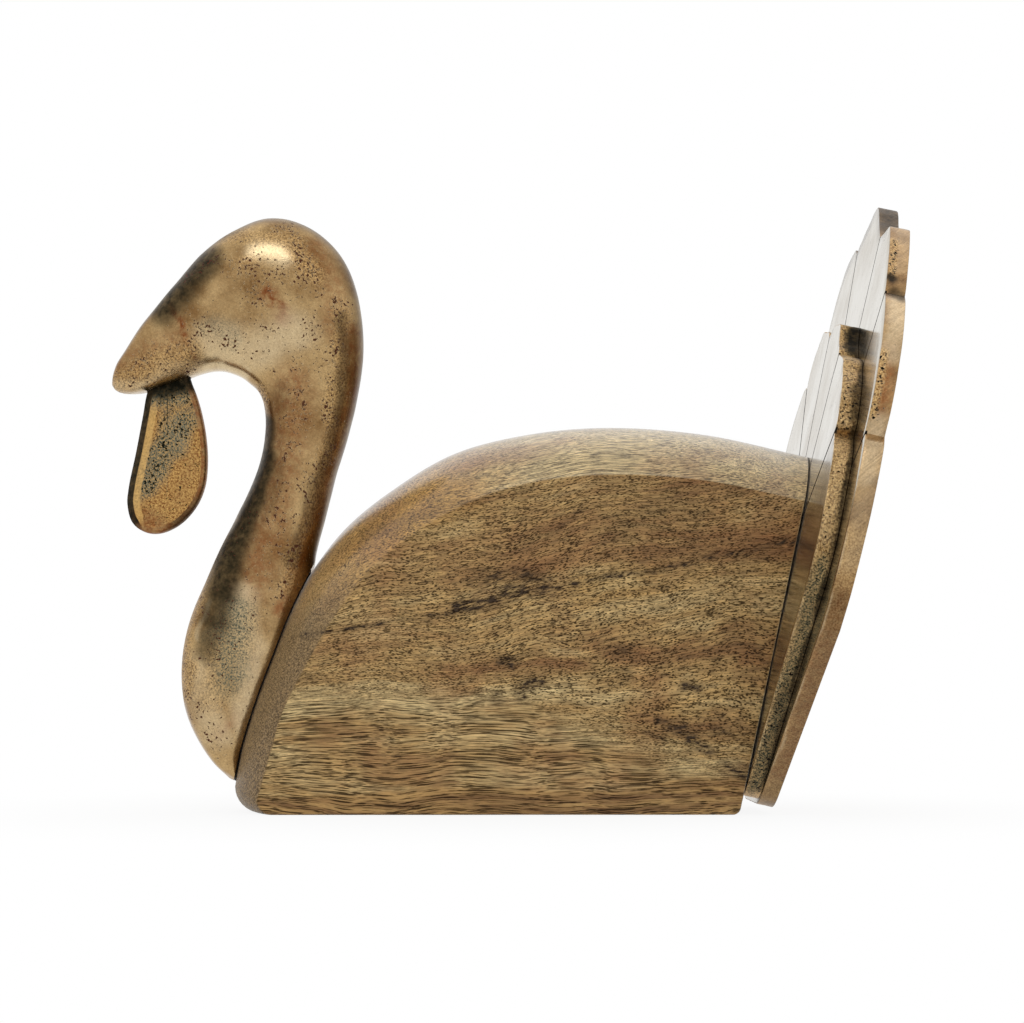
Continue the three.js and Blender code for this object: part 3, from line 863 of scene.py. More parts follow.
@dataclass
class WoodenBlock:
    """The block: a flat foot, two flat sides, and a back rounded across its width."""

    base_length: float = 127.0
    width: float = 52.0
    crown_height: float = 106.8
    flank_height: float = 92.0
    nose_overhang: float = 11.0
    flank_overhang: float = 3.1
    nose_radius: float = 7.0
    flank_nose_radius: float = 4.0
    heel_radius: float = 2.2
    lean: float = math.radians(12.07)
    arris_round: float = 0.45
    crown_rear_share: float = 0.924
    flank_rear_share: float = 0.923
    rows: int = 150
    columns: int = 40
    rear_rows: int = 60
    foot_rows: int = 80
    side_rings: int = 46
    side_middle: Pair = (2.0, 42.0)
    side_crowding: float = 1.15
    # Climb of the grain along the block, and drift of the figure with depth, along and up
    grain_climb: float = 0.16
    figure_drift: Pair = (-0.25, 0.1)
    crown_shares: Pairs = (
        (-1.142, 0.173), (-1.08, 0.3), (-1.016, 0.408), (-0.923, 0.541), (-0.795, 0.663),
        (-0.683, 0.743), (-0.504, 0.83), (-0.228, 0.929), (0.079, 0.979), (0.441, 1.0),
        (0.882, 0.982),
    )
    flank_shares: Pairs = (
        (-0.998, 0.168), (-0.942, 0.302), (-0.852, 0.428), (-0.762, 0.541), (-0.646, 0.657),
        (-0.548, 0.737), (-0.381, 0.828), (-0.142, 0.92), (0.126, 0.978), (0.449, 1.0),
        (0.85, 0.984),
    )
    # Figure in the wood, on the side view
    veins: Strokes = stroke_table(
        (0.8, 0.95, (-56, 48.6), (-40, 50.4), (-31, 51.8), (-14, 54.6), (2, 59)),
        (0.8, 0.95, (2, 59), (11, 60.7), (25, 63.2), (38, 65.4)),
        (0.8, 0.95, (38, 65.4), (55, 69), (67, 71.7), (82, 74.5)),
        (1.0, 0.4, (4, 73), (14, 76.5), (22, 84)),
    )
    stains: Strokes = stroke_table(
        (3.0, 0.9, (-13, 55.5), (2, 59.5), (12, 61)), (3.6, 0.65, (-8, 63), (1, 64), (11, 64)),
        (2.4, 0.5, (25, 64.5), (30, 66)), (2.6, 0.9, (-0.5, 40.5), (2, 40)), (1.6, 0.7, (4, 41.6)),
        (3.0, 1.0, (6.5, 35.4), (10.5, 36)), (3.4, 0.75, (4.3, 32.5)), (3.0, 0.65, (-3, 31.6)),
        (2.2, 0.6, (31.6, 44.4)), (2.0, 0.6, (20.8, 40.2)), (2.0, 0.8, (48, 34.6), (53, 33.8)),
        (2.6, 0.95, (42.5, 25.8), (47, 23.4)), (2.0, 0.75, (37.6, 21.8), (43, 20.8)),
        (2.8, 0.85, (49, 21), (55, 17.2)), (2.0, 0.7, (57, 22.6), (60.5, 21.6)),
        (4.0, 0.8, (60, 13.4), (65, 10.6)), (4.0, 0.3, (-40, 76), (-20, 82)),
        (5.0, 0.25, (30, 78), (50, 86)),
    )
    pale_streaks: Strokes = stroke_table(
        (2.6, 0.9, (14, 44), (26, 41), (40, 38.5), (62, 42)),
        (4.0, 0.5, (-62, 32), (-30, 34), (0, 36)), (12.0, 0.6, (-66, 18), (-30, 20), (0, 14)),
        (6.0, 0.4, (-57, 60), (-48, 72)), (4.0, 0.4, (44, 52), (56, 50)),
    )
    dark_clouds: Strokes = stroke_table(
        (9.0, 0.9, (-12, 66), (8, 68), (24, 74)), (8.0, 0.8, (0, 78), (30, 84), (58, 80)),
        (7.0, 0.5, (-34, 62), (-20, 70)), (4.5, 0.9, (18, 52), (26, 46), (34, 42)),
        (8.0, 0.7, (62, 58), (66, 34), (58, 24)), (7.0, 0.6, (36, 27), (56, 18)),
    )
    honey: Strokes = stroke_table(
        (6.0, 0.6, (-30, 78), (-10, 84)), (5.0, 0.4, (20, 60), (48, 62)),
        (5.0, 0.5, (44, 30), (58, 32)),
    )
    # Height of the heartwood strip and of the straight-grained part along the block
    heart_line: Pairs = (
        (-59, 4.4), (-31, 6.4), (-14, 7.5), (2, 6.9), (24, 6.4), (41, 7.2), (52, 8.6), (63, 10.2),
    )
    straight_line: Pairs = (
        (-70, 31), (-40, 33), (-10, 34), (5, 31), (20, 22), (40, 14), (70, 12),
    )

    def rear_x(self, z: float) -> float:
        """x of the sloping rear face at a height."""
        return self.base_length / 2 + z * math.tan(self.lean)

    def profile(
        self, shares: Pairs, height: float, overhang: float, radius: float, rear: float
    ) -> np.ndarray:
        """A side profile: a quarter circle at the nose, then a smooth curve to the rear face.

        Args:
            shares: Points of the curve, along as a share of half the base, up of the height.
            height: The profile's height.
            overhang: How far the nose stands beyond the base.
            radius: Radius of the nose corner.
            rear: Height of the rear end as a share of the height.

        Returns:
            Points (x, z) from the table upwards.
        """
        half = self.base_length / 2
        nose = -half - overhang
        turn = np.linspace(0, math.pi / 2, 9)[:-1]
        corner = np.stack([nose + radius * (1 - np.sin(turn)), radius * (1 - np.cos(turn))], 1)
        inner = np.array(shares) * (half, height)
        last = (self.rear_x(rear * height), rear * height)
        curve = smooth_curve(np.concatenate([[(nose, radius)], inner, [last]]), self.rows)
        return np.concatenate([corner, curve])

    def skin_rows(self, outset: float = 0.0) -> np.ndarray:
        """The rounded back: in each row a circular arc from arris to arris through the crown.

        Args:
            outset: How much further out the skin stands.

        Returns:
            Points, rows by columns by three.
        """
        crown = self.profile(
            self.crown_shares,
            self.crown_height,
            self.nose_overhang,
            self.nose_radius,
            self.crown_rear_share,
        )
        flank = self.profile(
            self.flank_shares,
            self.flank_height,
            self.flank_overhang,
            self.flank_nose_radius,
            self.flank_rear_share,
        )
        rise = crown - flank
        sagitta = np.linalg.norm(rise, axis=1, keepdims=True)
        rise = rise / sagitta
        half = self.width / 2
        radius = (half**2 + sagitta**2) / (2 * sagitta)
        spread = np.arcsin(np.minimum(1, half / radius))
        angle = spread * np.linspace(-1, 1, self.columns + 1)
        lift = radius * (np.cos(angle) - np.cos(spread)) + outset
        x = flank[:, :1] + rise[:, :1] * lift
        z = flank[:, 1:] + rise[:, 1:] * lift
        return np.stack([x, radius * np.sin(angle), z], 2)

    def wrap_rows(self, outset: float = 0.0) -> np.ndarray:
        """The closed wrap round the block: back, sloping rear, round heel and foot.

        Args:
            outset: How much further out the rounded back stands.

        Returns:
            Points, rows by columns by three, with the last row next to the first.
        """
        back = self.skin_rows(outset)
        across = np.linspace(-self.width / 2, self.width / 2, self.columns + 1)
        turn = np.linspace(self.lean, math.pi / 2, 7)[:, None]
        heel_x = self.rear_x(self.heel_radius) - self.heel_radius / math.cos(self.lean)
        x = heel_x + self.heel_radius * np.cos(turn) + 0 * across
        z = self.heel_radius * (1 - np.sin(turn)) + 0 * across
        heel = np.stack([x, across + 0 * turn, z], 2)
        share = np.linspace(0, 1, self.rear_rows + 2)[1:-1, None, None]
        rear = back[-1] * (1 - share) + heel[0] * share
        share = np.linspace(0, 1, self.foot_rows + 2)[1:-1, None, None]
        foot = heel[-1] * (1 - share) + back[0] * share
        return np.concatenate([back, rear, heel, foot])

    def solid(self, name: str, outset: float = 0.0) -> bpy.types.Object:
        """Makes the closed block.

        The wrap's outer columns turn round the arris on a quadratic curve, and each side is
        filled with shrinking copies of its rim, down to a hub.

        Args:
            name: The object's name.
            outset: How much further out the rounded back stands.

        Returns:
            The object.
        """
        rows = self.wrap_rows(outset)
        skin = Skin()
        inner = rows[:, 1:-1]
        sides = []
        for column, inward in ((0, 1), (-1, -2)):
            arris = rows[:, column]
            hub = np.array([self.side_middle[0], arris[0, 1], self.side_middle[1]])
            aside, over = (
                way * (self.arris_round / np.linalg.norm(way, axis=1, keepdims=True))
                for way in (hub - arris, rows[:, inward] - arris)
            )
            bend = [arris + over, arris + (over + aside) / 4, arris + aside]
            sides.append((bend, hub))
        (near, near_hub), (far, far_hub) = sides
        columns = [*near[::-1], *np.moveaxis(inner, 1, 0), *far]
        numbers = skin.grid(np.stack(columns, 1))
        skin.weave(np.concatenate([numbers, numbers[:1]]))
        steps = np.linspace(0, 1, self.side_rings + 1)[1:-1]
        shrink = (1 - steps**self.side_crowding)[:, None, None]
        for rim, hub, ring, flip in (
            (near[-1], near_hub, numbers[:, 0], False),
            (far[-1], far_hub, numbers[:, -1], True),
        ):
            rings = skin.grid(hub + (rim - hub) * shrink)
            stack = np.concatenate([ring[None], rings])
            skin.wrap(stack, flip=flip)
            centre = skin.grid(hub[None, None])[0, 0]
            skin.cap(rings[-1], centre, flip=not flip)
        return skin.build(name)

    def dress(self, thing: bpy.types.Object, wood: bpy.types.Material) -> None:
        """Works out the wood's figure at each vertex and puts the piece in place.

        The figure leans through the block, so its two sides differ.

        Args:
            thing: The block.
            wood: Its material.
        """
        places = places_of(thing)
        depth = places[:, 1] + self.width / 2
        along, up = self.figure_drift
        shifted = places + np.stack([along * depth, 0 * depth, up * depth], 1)
        x, z = shifted[:, 0], shifted[:, 2]
        stain = painted(shifted, self.stains, 1.6, Seed.STAINS)
        veins = painted(shifted, self.veins, 0.6, Seed.VEINS)
        pale = painted(shifted, self.pale_streaks, 1.5, Seed.PALE_STREAKS)
        dark = painted(shifted, self.dark_clouds, 3.0, Seed.DARK_CLOUDS)
        patches = painted(shifted, self.honey, 3.0, Seed.HONEY)
        wander = lump_noise(shifted * (0.25, 0.5, 1), 7, Seed.GRAIN_LINES)
        line = np.interp(x, *np.array(self.straight_line).T) + 3 * wander
        heart = np.interp(x, *np.array(self.heart_line).T) + 0.5 * wander
        normals = np.empty(len(places) * 3)
        thing.data.vertices.foreach_get("normal", normals)
        facing = np.abs(normals.reshape(-1, 3))

        # The rounded back, its top, its end grain on the nose, and the sides' upper part
        back = ease(-facing[:, 1], -0.985, -0.94)
        nose = np.maximum(ease(-places[:, 2], -72, -44), ease(-places[:, 0], 55, 62))
        end = back * nose * ease(-places[:, 0], 0, 10)
        top = back * ease(places[:, 0], -30, 20)
        upper = (1 - back) * ease(z, 50, 75) * ease(x, -20, 20)
        honey = back * ease(-places[:, 0], -10, 25) * (1 - end)
        put_fields(
            thing,
            rise=self.grain_climb * (x - 10) * ease(z, 15, 62) * MM,
            stain=np.maximum(stain, veins),
            heart=0.85 * ease(heart - z, -0.3, 0.3),
            straight=np.maximum(ease(line - z, -5, 5), 0.75 * top),
            # bright: painted light makes the top of the rounded back paler; pale streaks and dark
            # clouds are the wood's figure, and the sides' upper part is darker
            bright=0.9 * top + 0.6 * pale - 0.4 * dark - 0.4 * upper,
            end=end,
            polish=back * (1 - end),
            warm=np.maximum(0.8 * honey, 0.4 * patches),
        )
        finish_piece(thing, (wood,), "body", crease=20)


# Neck and head casting


@dataclass
class NeckCasting:
    """The solid casting from the breast up the neck and over the head to the beak."""

    base_length: float = 127.0
    head_height: float = 165.9
    beak_reach: float = 109.75
    head_thickness: float = 26.8
    lump: float = 14.0
    lump_height: float = 0.18
    ripple_share: float = 0.35
    rings: int = 300
    sides: int = 96
    # How square the section is, at shares of the way from beak to breast
    squareness: Pairs = (
        (0.0, 2.2), (0.05, 3.5), (0.15, 3.3), (0.25, 2.2), (0.65, 2.2), (0.8, 3.0), (1.0, 3.0),
    )
    # Outer edge forward and up, inner edge forward and up, thickness, from beak to breast
    stations: tuple[tuple[float, ...], ...] = (
        (1.0, 0.722, 0.998, 0.715, 0.07), (0.993, 0.732, 0.979, 0.708, 0.21),
        (0.967, 0.752, 0.934, 0.703, 0.36), (0.912, 0.776, 0.851, 0.702, 0.48),
        (0.829, 0.812, 0.76, 0.706, 0.61), (0.727, 0.849, 0.663, 0.715, 0.73),
        (0.594, 0.894, 0.547, 0.727, 0.84), (0.445, 0.942, 0.452, 0.736, 0.93),
        (0.262, 0.979, 0.385, 0.74, 0.98), (0.051, 1.0, 0.324, 0.74, 1.0),
        (-0.182, 0.985, 0.262, 0.735, 0.98), (-0.372, 0.94, 0.207, 0.728, 0.95),
        (-0.481, 0.874, 0.16, 0.718, 0.9), (-0.519, 0.802, 0.117, 0.707, 0.85),
        (-0.509, 0.736, 0.086, 0.69, 0.81), (-0.471, 0.674, 0.07, 0.666, 0.79),
        (-0.424, 0.623, 0.072, 0.634, 0.78), (-0.369, 0.573, 0.096, 0.593, 0.78),
        (-0.305, 0.502, 0.15, 0.547, 0.79), (-0.243, 0.434, 0.245, 0.491, 0.82),
        (-0.215, 0.37, 0.352, 0.432, 0.86), (-0.163, 0.311, 0.442, 0.373, 0.89),
        (-0.092, 0.252, 0.511, 0.324, 0.9), (-0.009, 0.194, 0.552, 0.269, 0.88),
        (0.082, 0.138, 0.559, 0.215, 0.82), (0.153, 0.09, 0.535, 0.168, 0.72),
        (0.186, 0.064, 0.473, 0.125, 0.58), (0.203, 0.052, 0.376, 0.083, 0.4),
        (0.217, 0.048, 0.279, 0.056, 0.16),
    )
    # Film strokes: antique film, and in part a painted dark reflection along the head's top edge
    # and the neck's edges
    film: Strokes = stroke_table(
        (8.0, 0.75, (-94.5, 140.5), (-89.5, 145.5), (-83.5, 153)),
        (3.6, 0.7, (-65.5, 108), (-66, 98)),
        (5.0, 0.85, (-66, 98), (-67.5, 91), (-70.5, 84), (-73, 77)),
        (6.4, 0.85, (-73, 77), (-76, 68)), (7.0, 0.75, (-76, 68), (-78, 60)),
        (6.5, 0.6, (-78, 60), (-80, 53)), (5.0, 0.4, (-80, 53), (-82, 44)),
        (2.4, 0.3, (-45, 137), (-44.4, 128), (-46, 108), (-51, 91)),
        (3.0, 0.25, (-51, 91), (-56.3, 77), (-58.5, 69)),
        (4.0, 0.15, (-62, 116), (-64, 108), (-63, 100)),
        (3.0, 0.2, (-62, 96), (-64, 88), (-67, 80)),
    )
    pits: Strokes = stroke_table(
        (7.0, 1.0, (-79, 160), (-73, 155), (-70, 149)),
        (6.0, 1.0, (-62, 161), (-56, 154), (-53, 141), (-52, 130)),
        (9.0, 0.85, (-64, 147), (-67, 139), (-68, 131)),
        (6.0, 0.95, (-69, 134), (-63, 131), (-60, 127)),
        (6.5, 0.9, (-84, 134), (-78, 131), (-73, 130)),
        (4.5, 1.0, (-46, 140), (-47, 122), (-48, 110)),
        (4.2, 1.0, (-48, 112), (-51, 98), (-56, 80), (-61, 62)),
        (6.5, 0.75, (-57, 116), (-58, 97), (-62, 84), (-66, 74)),
        (7.0, 0.9, (-108, 118), (-98, 123), (-88, 126)),
        (3.6, 1.0, (-66, 120), (-67.5, 113), (-68, 104)),
        (11.0, 0.7, (-72, 56), (-77, 46), (-80, 36), (-77, 24)),
        (5.5, 1.0, (-91, 58), (-91, 44), (-88, 30), (-82, 20)),
        (9.0, 0.6, (-72, 84), (-80, 66), (-88, 52)),
        (4.5, 0.85, (-81, 158), (-90, 150), (-80, 153)), (7.0, 0.7, (-56, 132), (-54, 120)),
        (6.0, 0.6, (-66, 74), (-70, 62), (-74, 50)),
    )
    rough: Strokes = stroke_table(
        (6.5, 1.0, (-81, 76), (-85, 66), (-88.5, 56), (-90, 46), (-89, 34)),
        (6.0, 0.75, (-108, 118), (-98, 123), (-88, 126)),
        (3.2, 0.7, (-45, 138), (-46, 118), (-49, 100), (-54, 80), (-60, 62)),
        (4.0, 0.6, (-80, 160), (-70, 160), (-58, 158), (-52, 148)),
        (9.0, 0.55, (-72, 52), (-76, 42), (-79, 32)),
        (2.4, 0.8, (-67.5, 116), (-69, 104), (-70, 96)),
    )
    copper: Strokes = stroke_table(
        (3.2, 1.0, (-66, 143), (-62, 140), (-60, 135)),
        (1.3, 1.0, (-92, 140), (-89, 133), (-85, 124)),
        (3.6, 0.6, (-43, 134), (-43, 116), (-49, 92), (-55, 76), (-61, 56)),
        (7.0, 0.45, (-106, 121), (-98, 126), (-90, 128)),
        (6.0, 0.4, (-52, 156), (-47, 146), (-46, 132)),
        (9.0, 0.5, (-58, 118), (-60, 104), (-62, 92), (-66, 78), (-70, 62)),
        (3.5, 0.6, (-74, 26), (-77, 22)),
    )
    green: Strokes = stroke_table(
        (7.5, 0.85, (-73, 56), (-76, 46), (-75, 38)), (5.0, 0.35, (-80, 133), (-76, 131)),
        (4.0, 0.4, (-81, 49), (-77, 50)),
    )
    # The first worn stroke is a painted highlight that pales the metal under the lamp's highlight
    # on the head; the second follows the jaw's ground lower edge and is partly a painted reflection
    # of the floor
    worn: Strokes = stroke_table(
        (5.0, 0.8, (-69, 155.5), (-61, 154.5)),
        (3.2, 0.85, (-110, 117), (-98, 119.5), (-88, 123), (-80, 124), (-72, 122)),
        (9.0, 0.6, (-80, 129), (-68, 127), (-58, 133)),
        (6.0, 0.6, (-72, 60), (-70, 44), (-71, 22)), (8.0, 0.5, (-86, 40), (-80, 22)),
        (1.2, 0.6, (-97, 141), (-84, 156)), (1.0, 0.5, (-82, 58), (-83.5, 49)),
    )

    def forward_x(self, share: np.ndarray | float) -> np.ndarray | float:
        """x at a share of the beak's reach beyond the block's base."""
        half = self.base_length / 2
        return -half - share * (self.beak_reach - half)

    def solid(self, name: str, inset: float = 0.0) -> bpy.types.Object:
        """Makes the casting, running on into the block's space, as a loft of closed rings.

        Each ring is a superellipse between the outer and the inner edge, and the whole skin
        stands in and out along its radius by a smooth random field.

        Args:
            name: The object's name.
            inset: How much further in its skin lies.

        Returns:
            The object.
        """
        table = np.array(self.stations)
        half = table[:, 4] * self.head_thickness / 2
        outer = np.stack([self.forward_x(table[:, 0]), half, table[:, 1] * self.head_height], 1)
        inner = np.stack([self.forward_x(table[:, 2]), 0 * half, table[:, 3] * self.head_height], 1)
        top = smooth_curve(outer, self.rings)
        bottom = smooth_curve(inner, self.rings)
        half = top[:, 1].copy()
        top[:, 1] = 0
        centre = (top + bottom) / 2
        reach = top - centre
        angle = np.arange(self.sides) / self.sides * 2 * math.pi
        along = np.linspace(0, 1, self.rings + 1)[:, None]
        power = 2 / np.interp(along, *np.array(self.squareness).T)
        across = np.sign(np.cos(angle)) * np.abs(np.cos(angle)) ** power
        aside = np.sign(np.sin(angle)) * np.abs(np.sin(angle)) ** power
        rings = centre[:, None] + reach[:, None] * across[:, :, None]
        rings[:, :, 1] = half[:, None] * aside
        out = rings - centre[:, None]
        size = np.linalg.norm(out, axis=2, keepdims=True)
        spots = rings.reshape(-1, 3)
        swell = lump_noise(spots, self.lump, Seed.CASTING_LUMPS)
        swell += self.ripple_share * lump_noise(spots, self.lump / 3, Seed.CASTING_RIPPLES)
        swell = swell.reshape(size.shape) * self.lump_height * ease(size, 0.5, 6)
        shift = swell - np.minimum(inset, 0.9 * size)
        rings += out / np.maximum(size, 1e-6) * shift
        skin = Skin()
        numbers = skin.grid(rings)
        skin.wrap(numbers)
        hubs = skin.grid(centre[[0, -1]][None])[0]
        skin.cap(numbers[0], hubs[0])
        skin.cap(numbers[-1], hubs[1], flip=True)
        thing = skin.build(name)
        put_fields(thing, edge=np.concatenate([across.ravel(), [0, 0]]))
        return thing

    def dress(self, thing: bpy.types.Object, brass: bpy.types.Material) -> None:
        """Works out wear, film, pits and painted light per vertex, and puts the piece in place.

        Args:
            thing: The casting, cut to its seat.
            brass: Its material.
        """
        places = places_of(thing)
        rim = ease(get_field(thing, "edge"), 0.78, 0.98)
        film = painted(places, self.film, 1.0, Seed.FILM_AND_REFLECTION)
        pits = painted(places, self.pits, 2.0, Seed.PITS)
        patches = ease(lump_noise(places, 3.6, Seed.PIT_PATCHES), -0.3, 0.35)
        rough = painted(places, self.rough, 1.5, Seed.ROUGH)
        # The film takes the film strokes and, along the outer edge, a painted dark reflection
        put_fields(
            thing,
            film=np.maximum(film * (2 - film), 0.55 * rim),
            pits=0.08 + pits * (0.3 + 0.65 * patches),
            grain=0.8 * rough + 0.15 * pits * patches,
            copper=painted(places, self.copper, 1.2, Seed.COPPER),
            green=painted(places, self.green, 2.5, Seed.GREEN),
            worn=painted(places, self.worn, 1.6, Seed.WORN_AND_HIGHLIGHT),
        )
        finish_piece(thing, (brass,), "head_neck", crease=40)


# Wattle


@dataclass
class WattleLeaf:
    """The flat leaf that hangs from a slot in the jaw."""

    length: float = 46.5
    width: float = 22.3
    hang: Pair = (0.661, 0.746)
    steps: int = 220
    inner_rings: int = 30
    # Ends of the upright line that the rings inside the rim shrink to, and their last share
    spine: Pair = (-37.0, -8.0)
    last_ring: float = 0.03
    shares: Pairs = (
        (-0.17, -0.06), (-0.256, -0.146), (-0.315, -0.3), (-0.39, -0.5), (-0.484, -0.727),
        (-0.498, -0.828), (-0.43, -0.938), (-0.269, -0.994), (-0.081, -1.0), (0.157, -0.948),
        (0.354, -0.847), (0.466, -0.727), (0.502, -0.57), (0.475, -0.4), (0.399, -0.23),
        (0.309, -0.11), (0.193, 0.0),
    )
    # Inset from the outline and depth from the middle plane: the plain rim, then the side
    # with the broad ground bevel
    plain_rim: Pairs = (
        (0.0, 1.1), (0.2, 1.85), (0.6, 2.35), (0.95, 2.5), (1.5, 2.5), (1.75, 2.42), (2.1, 2.15),
    )
    ground_rim: Pairs = (
        (0.0, 0.7), (0.85, 1.45), (1.7, 2.1), (1.95, 2.25), (3.7, 2.5), (3.95, 2.42), (4.3, 2.15),
    )
    green: Strokes = stroke_table(
        (7.0, 1.0, (-101, 117), (-90, 117)), (6.2, 1.0, (-89, 109), (-95, 100), (-101, 90)),
        (4.0, 0.6, (-92, 112), (-94, 106)), (3.0, 0.8, (-100, 97), (-102, 86)),
    )
    film: Strokes = stroke_table(
        (6.0, 1.0, (-101, 119.5), (-87, 121)), (3.0, 0.8, (-102, 116.5), (-97, 117.5)),
    )
    copper: Strokes = stroke_table(
        (5.5, 1.0, (-103, 81.5), (-97, 79)), (3.0, 0.3, (-90, 108), (-88, 96), (-90, 86)),
    )

    def solid(self, casting: NeckCasting, outset: float = 0.0) -> bpy.types.Object:
        """Makes the leaf from rings that step in from its outline and up to its faces.

        The rim's section blends between the plain and the ground one by how far the outline
        faces forwards, and inside the rim the rings shrink evenly to the leaf's middle.

        Args:
            casting: The casting that it hangs from, whose shares place it.
            outset: How much larger it is all round, for its slot.

        Returns:
            The object.
        """
        points = np.array(self.shares) * (self.width, self.length)
        outline = smooth_curve(points, self.steps, True)
        inward = left_of(outline)
        level = outline[:, 1] / self.length
        ground = ease(inward[:, 0], 0.35, 0.8) * ease(-level, 0.04, 0.16)
        plain, broad = np.array(self.plain_rim), np.array(self.ground_rim)
        mix = ground[None, :, None]
        section = plain[:, None] * (1 - mix) + broad[:, None] * mix
        rims = outline[None] + inward[None] * section[:, :, :1]
        middle = np.stack([0 * outline[:, 0], np.clip(outline[:, 1], *self.spine)], 1)
        shrink = np.linspace(1, self.last_ring, self.inner_rings + 1)[1:, None, None]
        field = middle[None] + (rims[-1] - middle)[None] * shrink
        flat = np.concatenate([rims, field])
        rise = np.concatenate([section[:, :, 1], np.tile(section[-1, :, 1], (len(field), 1))])
        x = casting.forward_x(self.hang[0]) + flat[:, :, 0]
        z = self.hang[1] * casting.head_height + flat[:, :, 1]
        if outset:
            centre = np.array([x.mean(), z.mean()])
            x = x + outset * np.sign(x - centre[0])
            rise = rise + outset
        skin = Skin()
        fronts = skin.grid(np.stack([x, -rise, z], 2))
        backs = skin.grid(np.stack([x, rise, z], 2))
        skin.wrap(fronts, flip=True)
        skin.wrap(backs)
        waist = np.stack([backs[0], fronts[0]])
        skin.wrap(waist, flip=True)
        heart = np.array([[x[-1].mean(), side * rise[-1, 0], z[-1].mean()] for side in (-1, 1)])
        hubs = skin.grid(heart[None])[0]
        skin.cap(fronts[-1], hubs[0])
        skin.cap(backs[-1], hubs[1], flip=True)
        thing = skin.build("wattle_leaf")
        rows = np.arange(len(flat))[:, None]
        chamfer = np.where(rows < 3, 1.0, 0.0) * ground
        fade = ease(-level, 0.2, 0.27)
        bevel = np.where((rows >= 3) & (rows <= 4), 1.0, 0.0) * ground * fade
        rim = np.where(rows < 5, 1.0, 0.0) * (1 - ground)
        marks = {"chamfer": chamfer, "bevel": bevel, "rim": rim}
        for name, mark in marks.items():
            put_fields(thing, **{name: np.concatenate([mark.ravel(), mark.ravel(), [0, 0]])})
        return thing

    def dress(self, thing: bpy.types.Object, brass: bpy.types.Material) -> None:
        """Works out patina and wear at each vertex and puts the piece in place.

        Args:
            thing: The leaf.
            brass: Its material.
        """
        places = places_of(thing)
        chamfer, bevel, rim = (get_field(thing, name) for name in ("chamfer", "bevel", "rim"))
        field = 1 - np.clip(chamfer + bevel + rim, 0, 1)
        film = painted(places, self.film, 1.5, Seed.LEAF_FILM)
        green = painted(places, self.green, 2.5, Seed.LEAF_GREEN)
        copper = painted(places, self.copper, 1.5, Seed.LEAF_COPPER)
        low = 0.6 * rim * ease(-places[:, 2], -92, -82) * ease(places[:, 0], -96, -91)
        film = np.max([film * (2 - film), 0.93 * chamfer, low], axis=0)
        put_fields(
            thing,
            film=np.clip(film, 0, 1),
            green=green * (0.2 + 0.8 * field),
            copper=np.clip(np.maximum(copper, 0.8 * rim), 0, 1),
            worn=0.8 * bevel,
            pits=(0.35 + 0.5 * green) * field,
            grain=(0.75 - 0.6 * copper) * field + 0.1,
        )
        finish_piece(thing, (brass,), "wattle", crease=50)


# Tail plates


class Edge(Enum):
    """How a tail plate's edge was left."""

    AS_CAST = "as_cast"
    GROUND = "ground"


class Face(IntEnum):
    """Numbers of a tail plate's finishes."""

    FRONT = 0
    RIM = 1
    CUT = 2
    REAR = 3


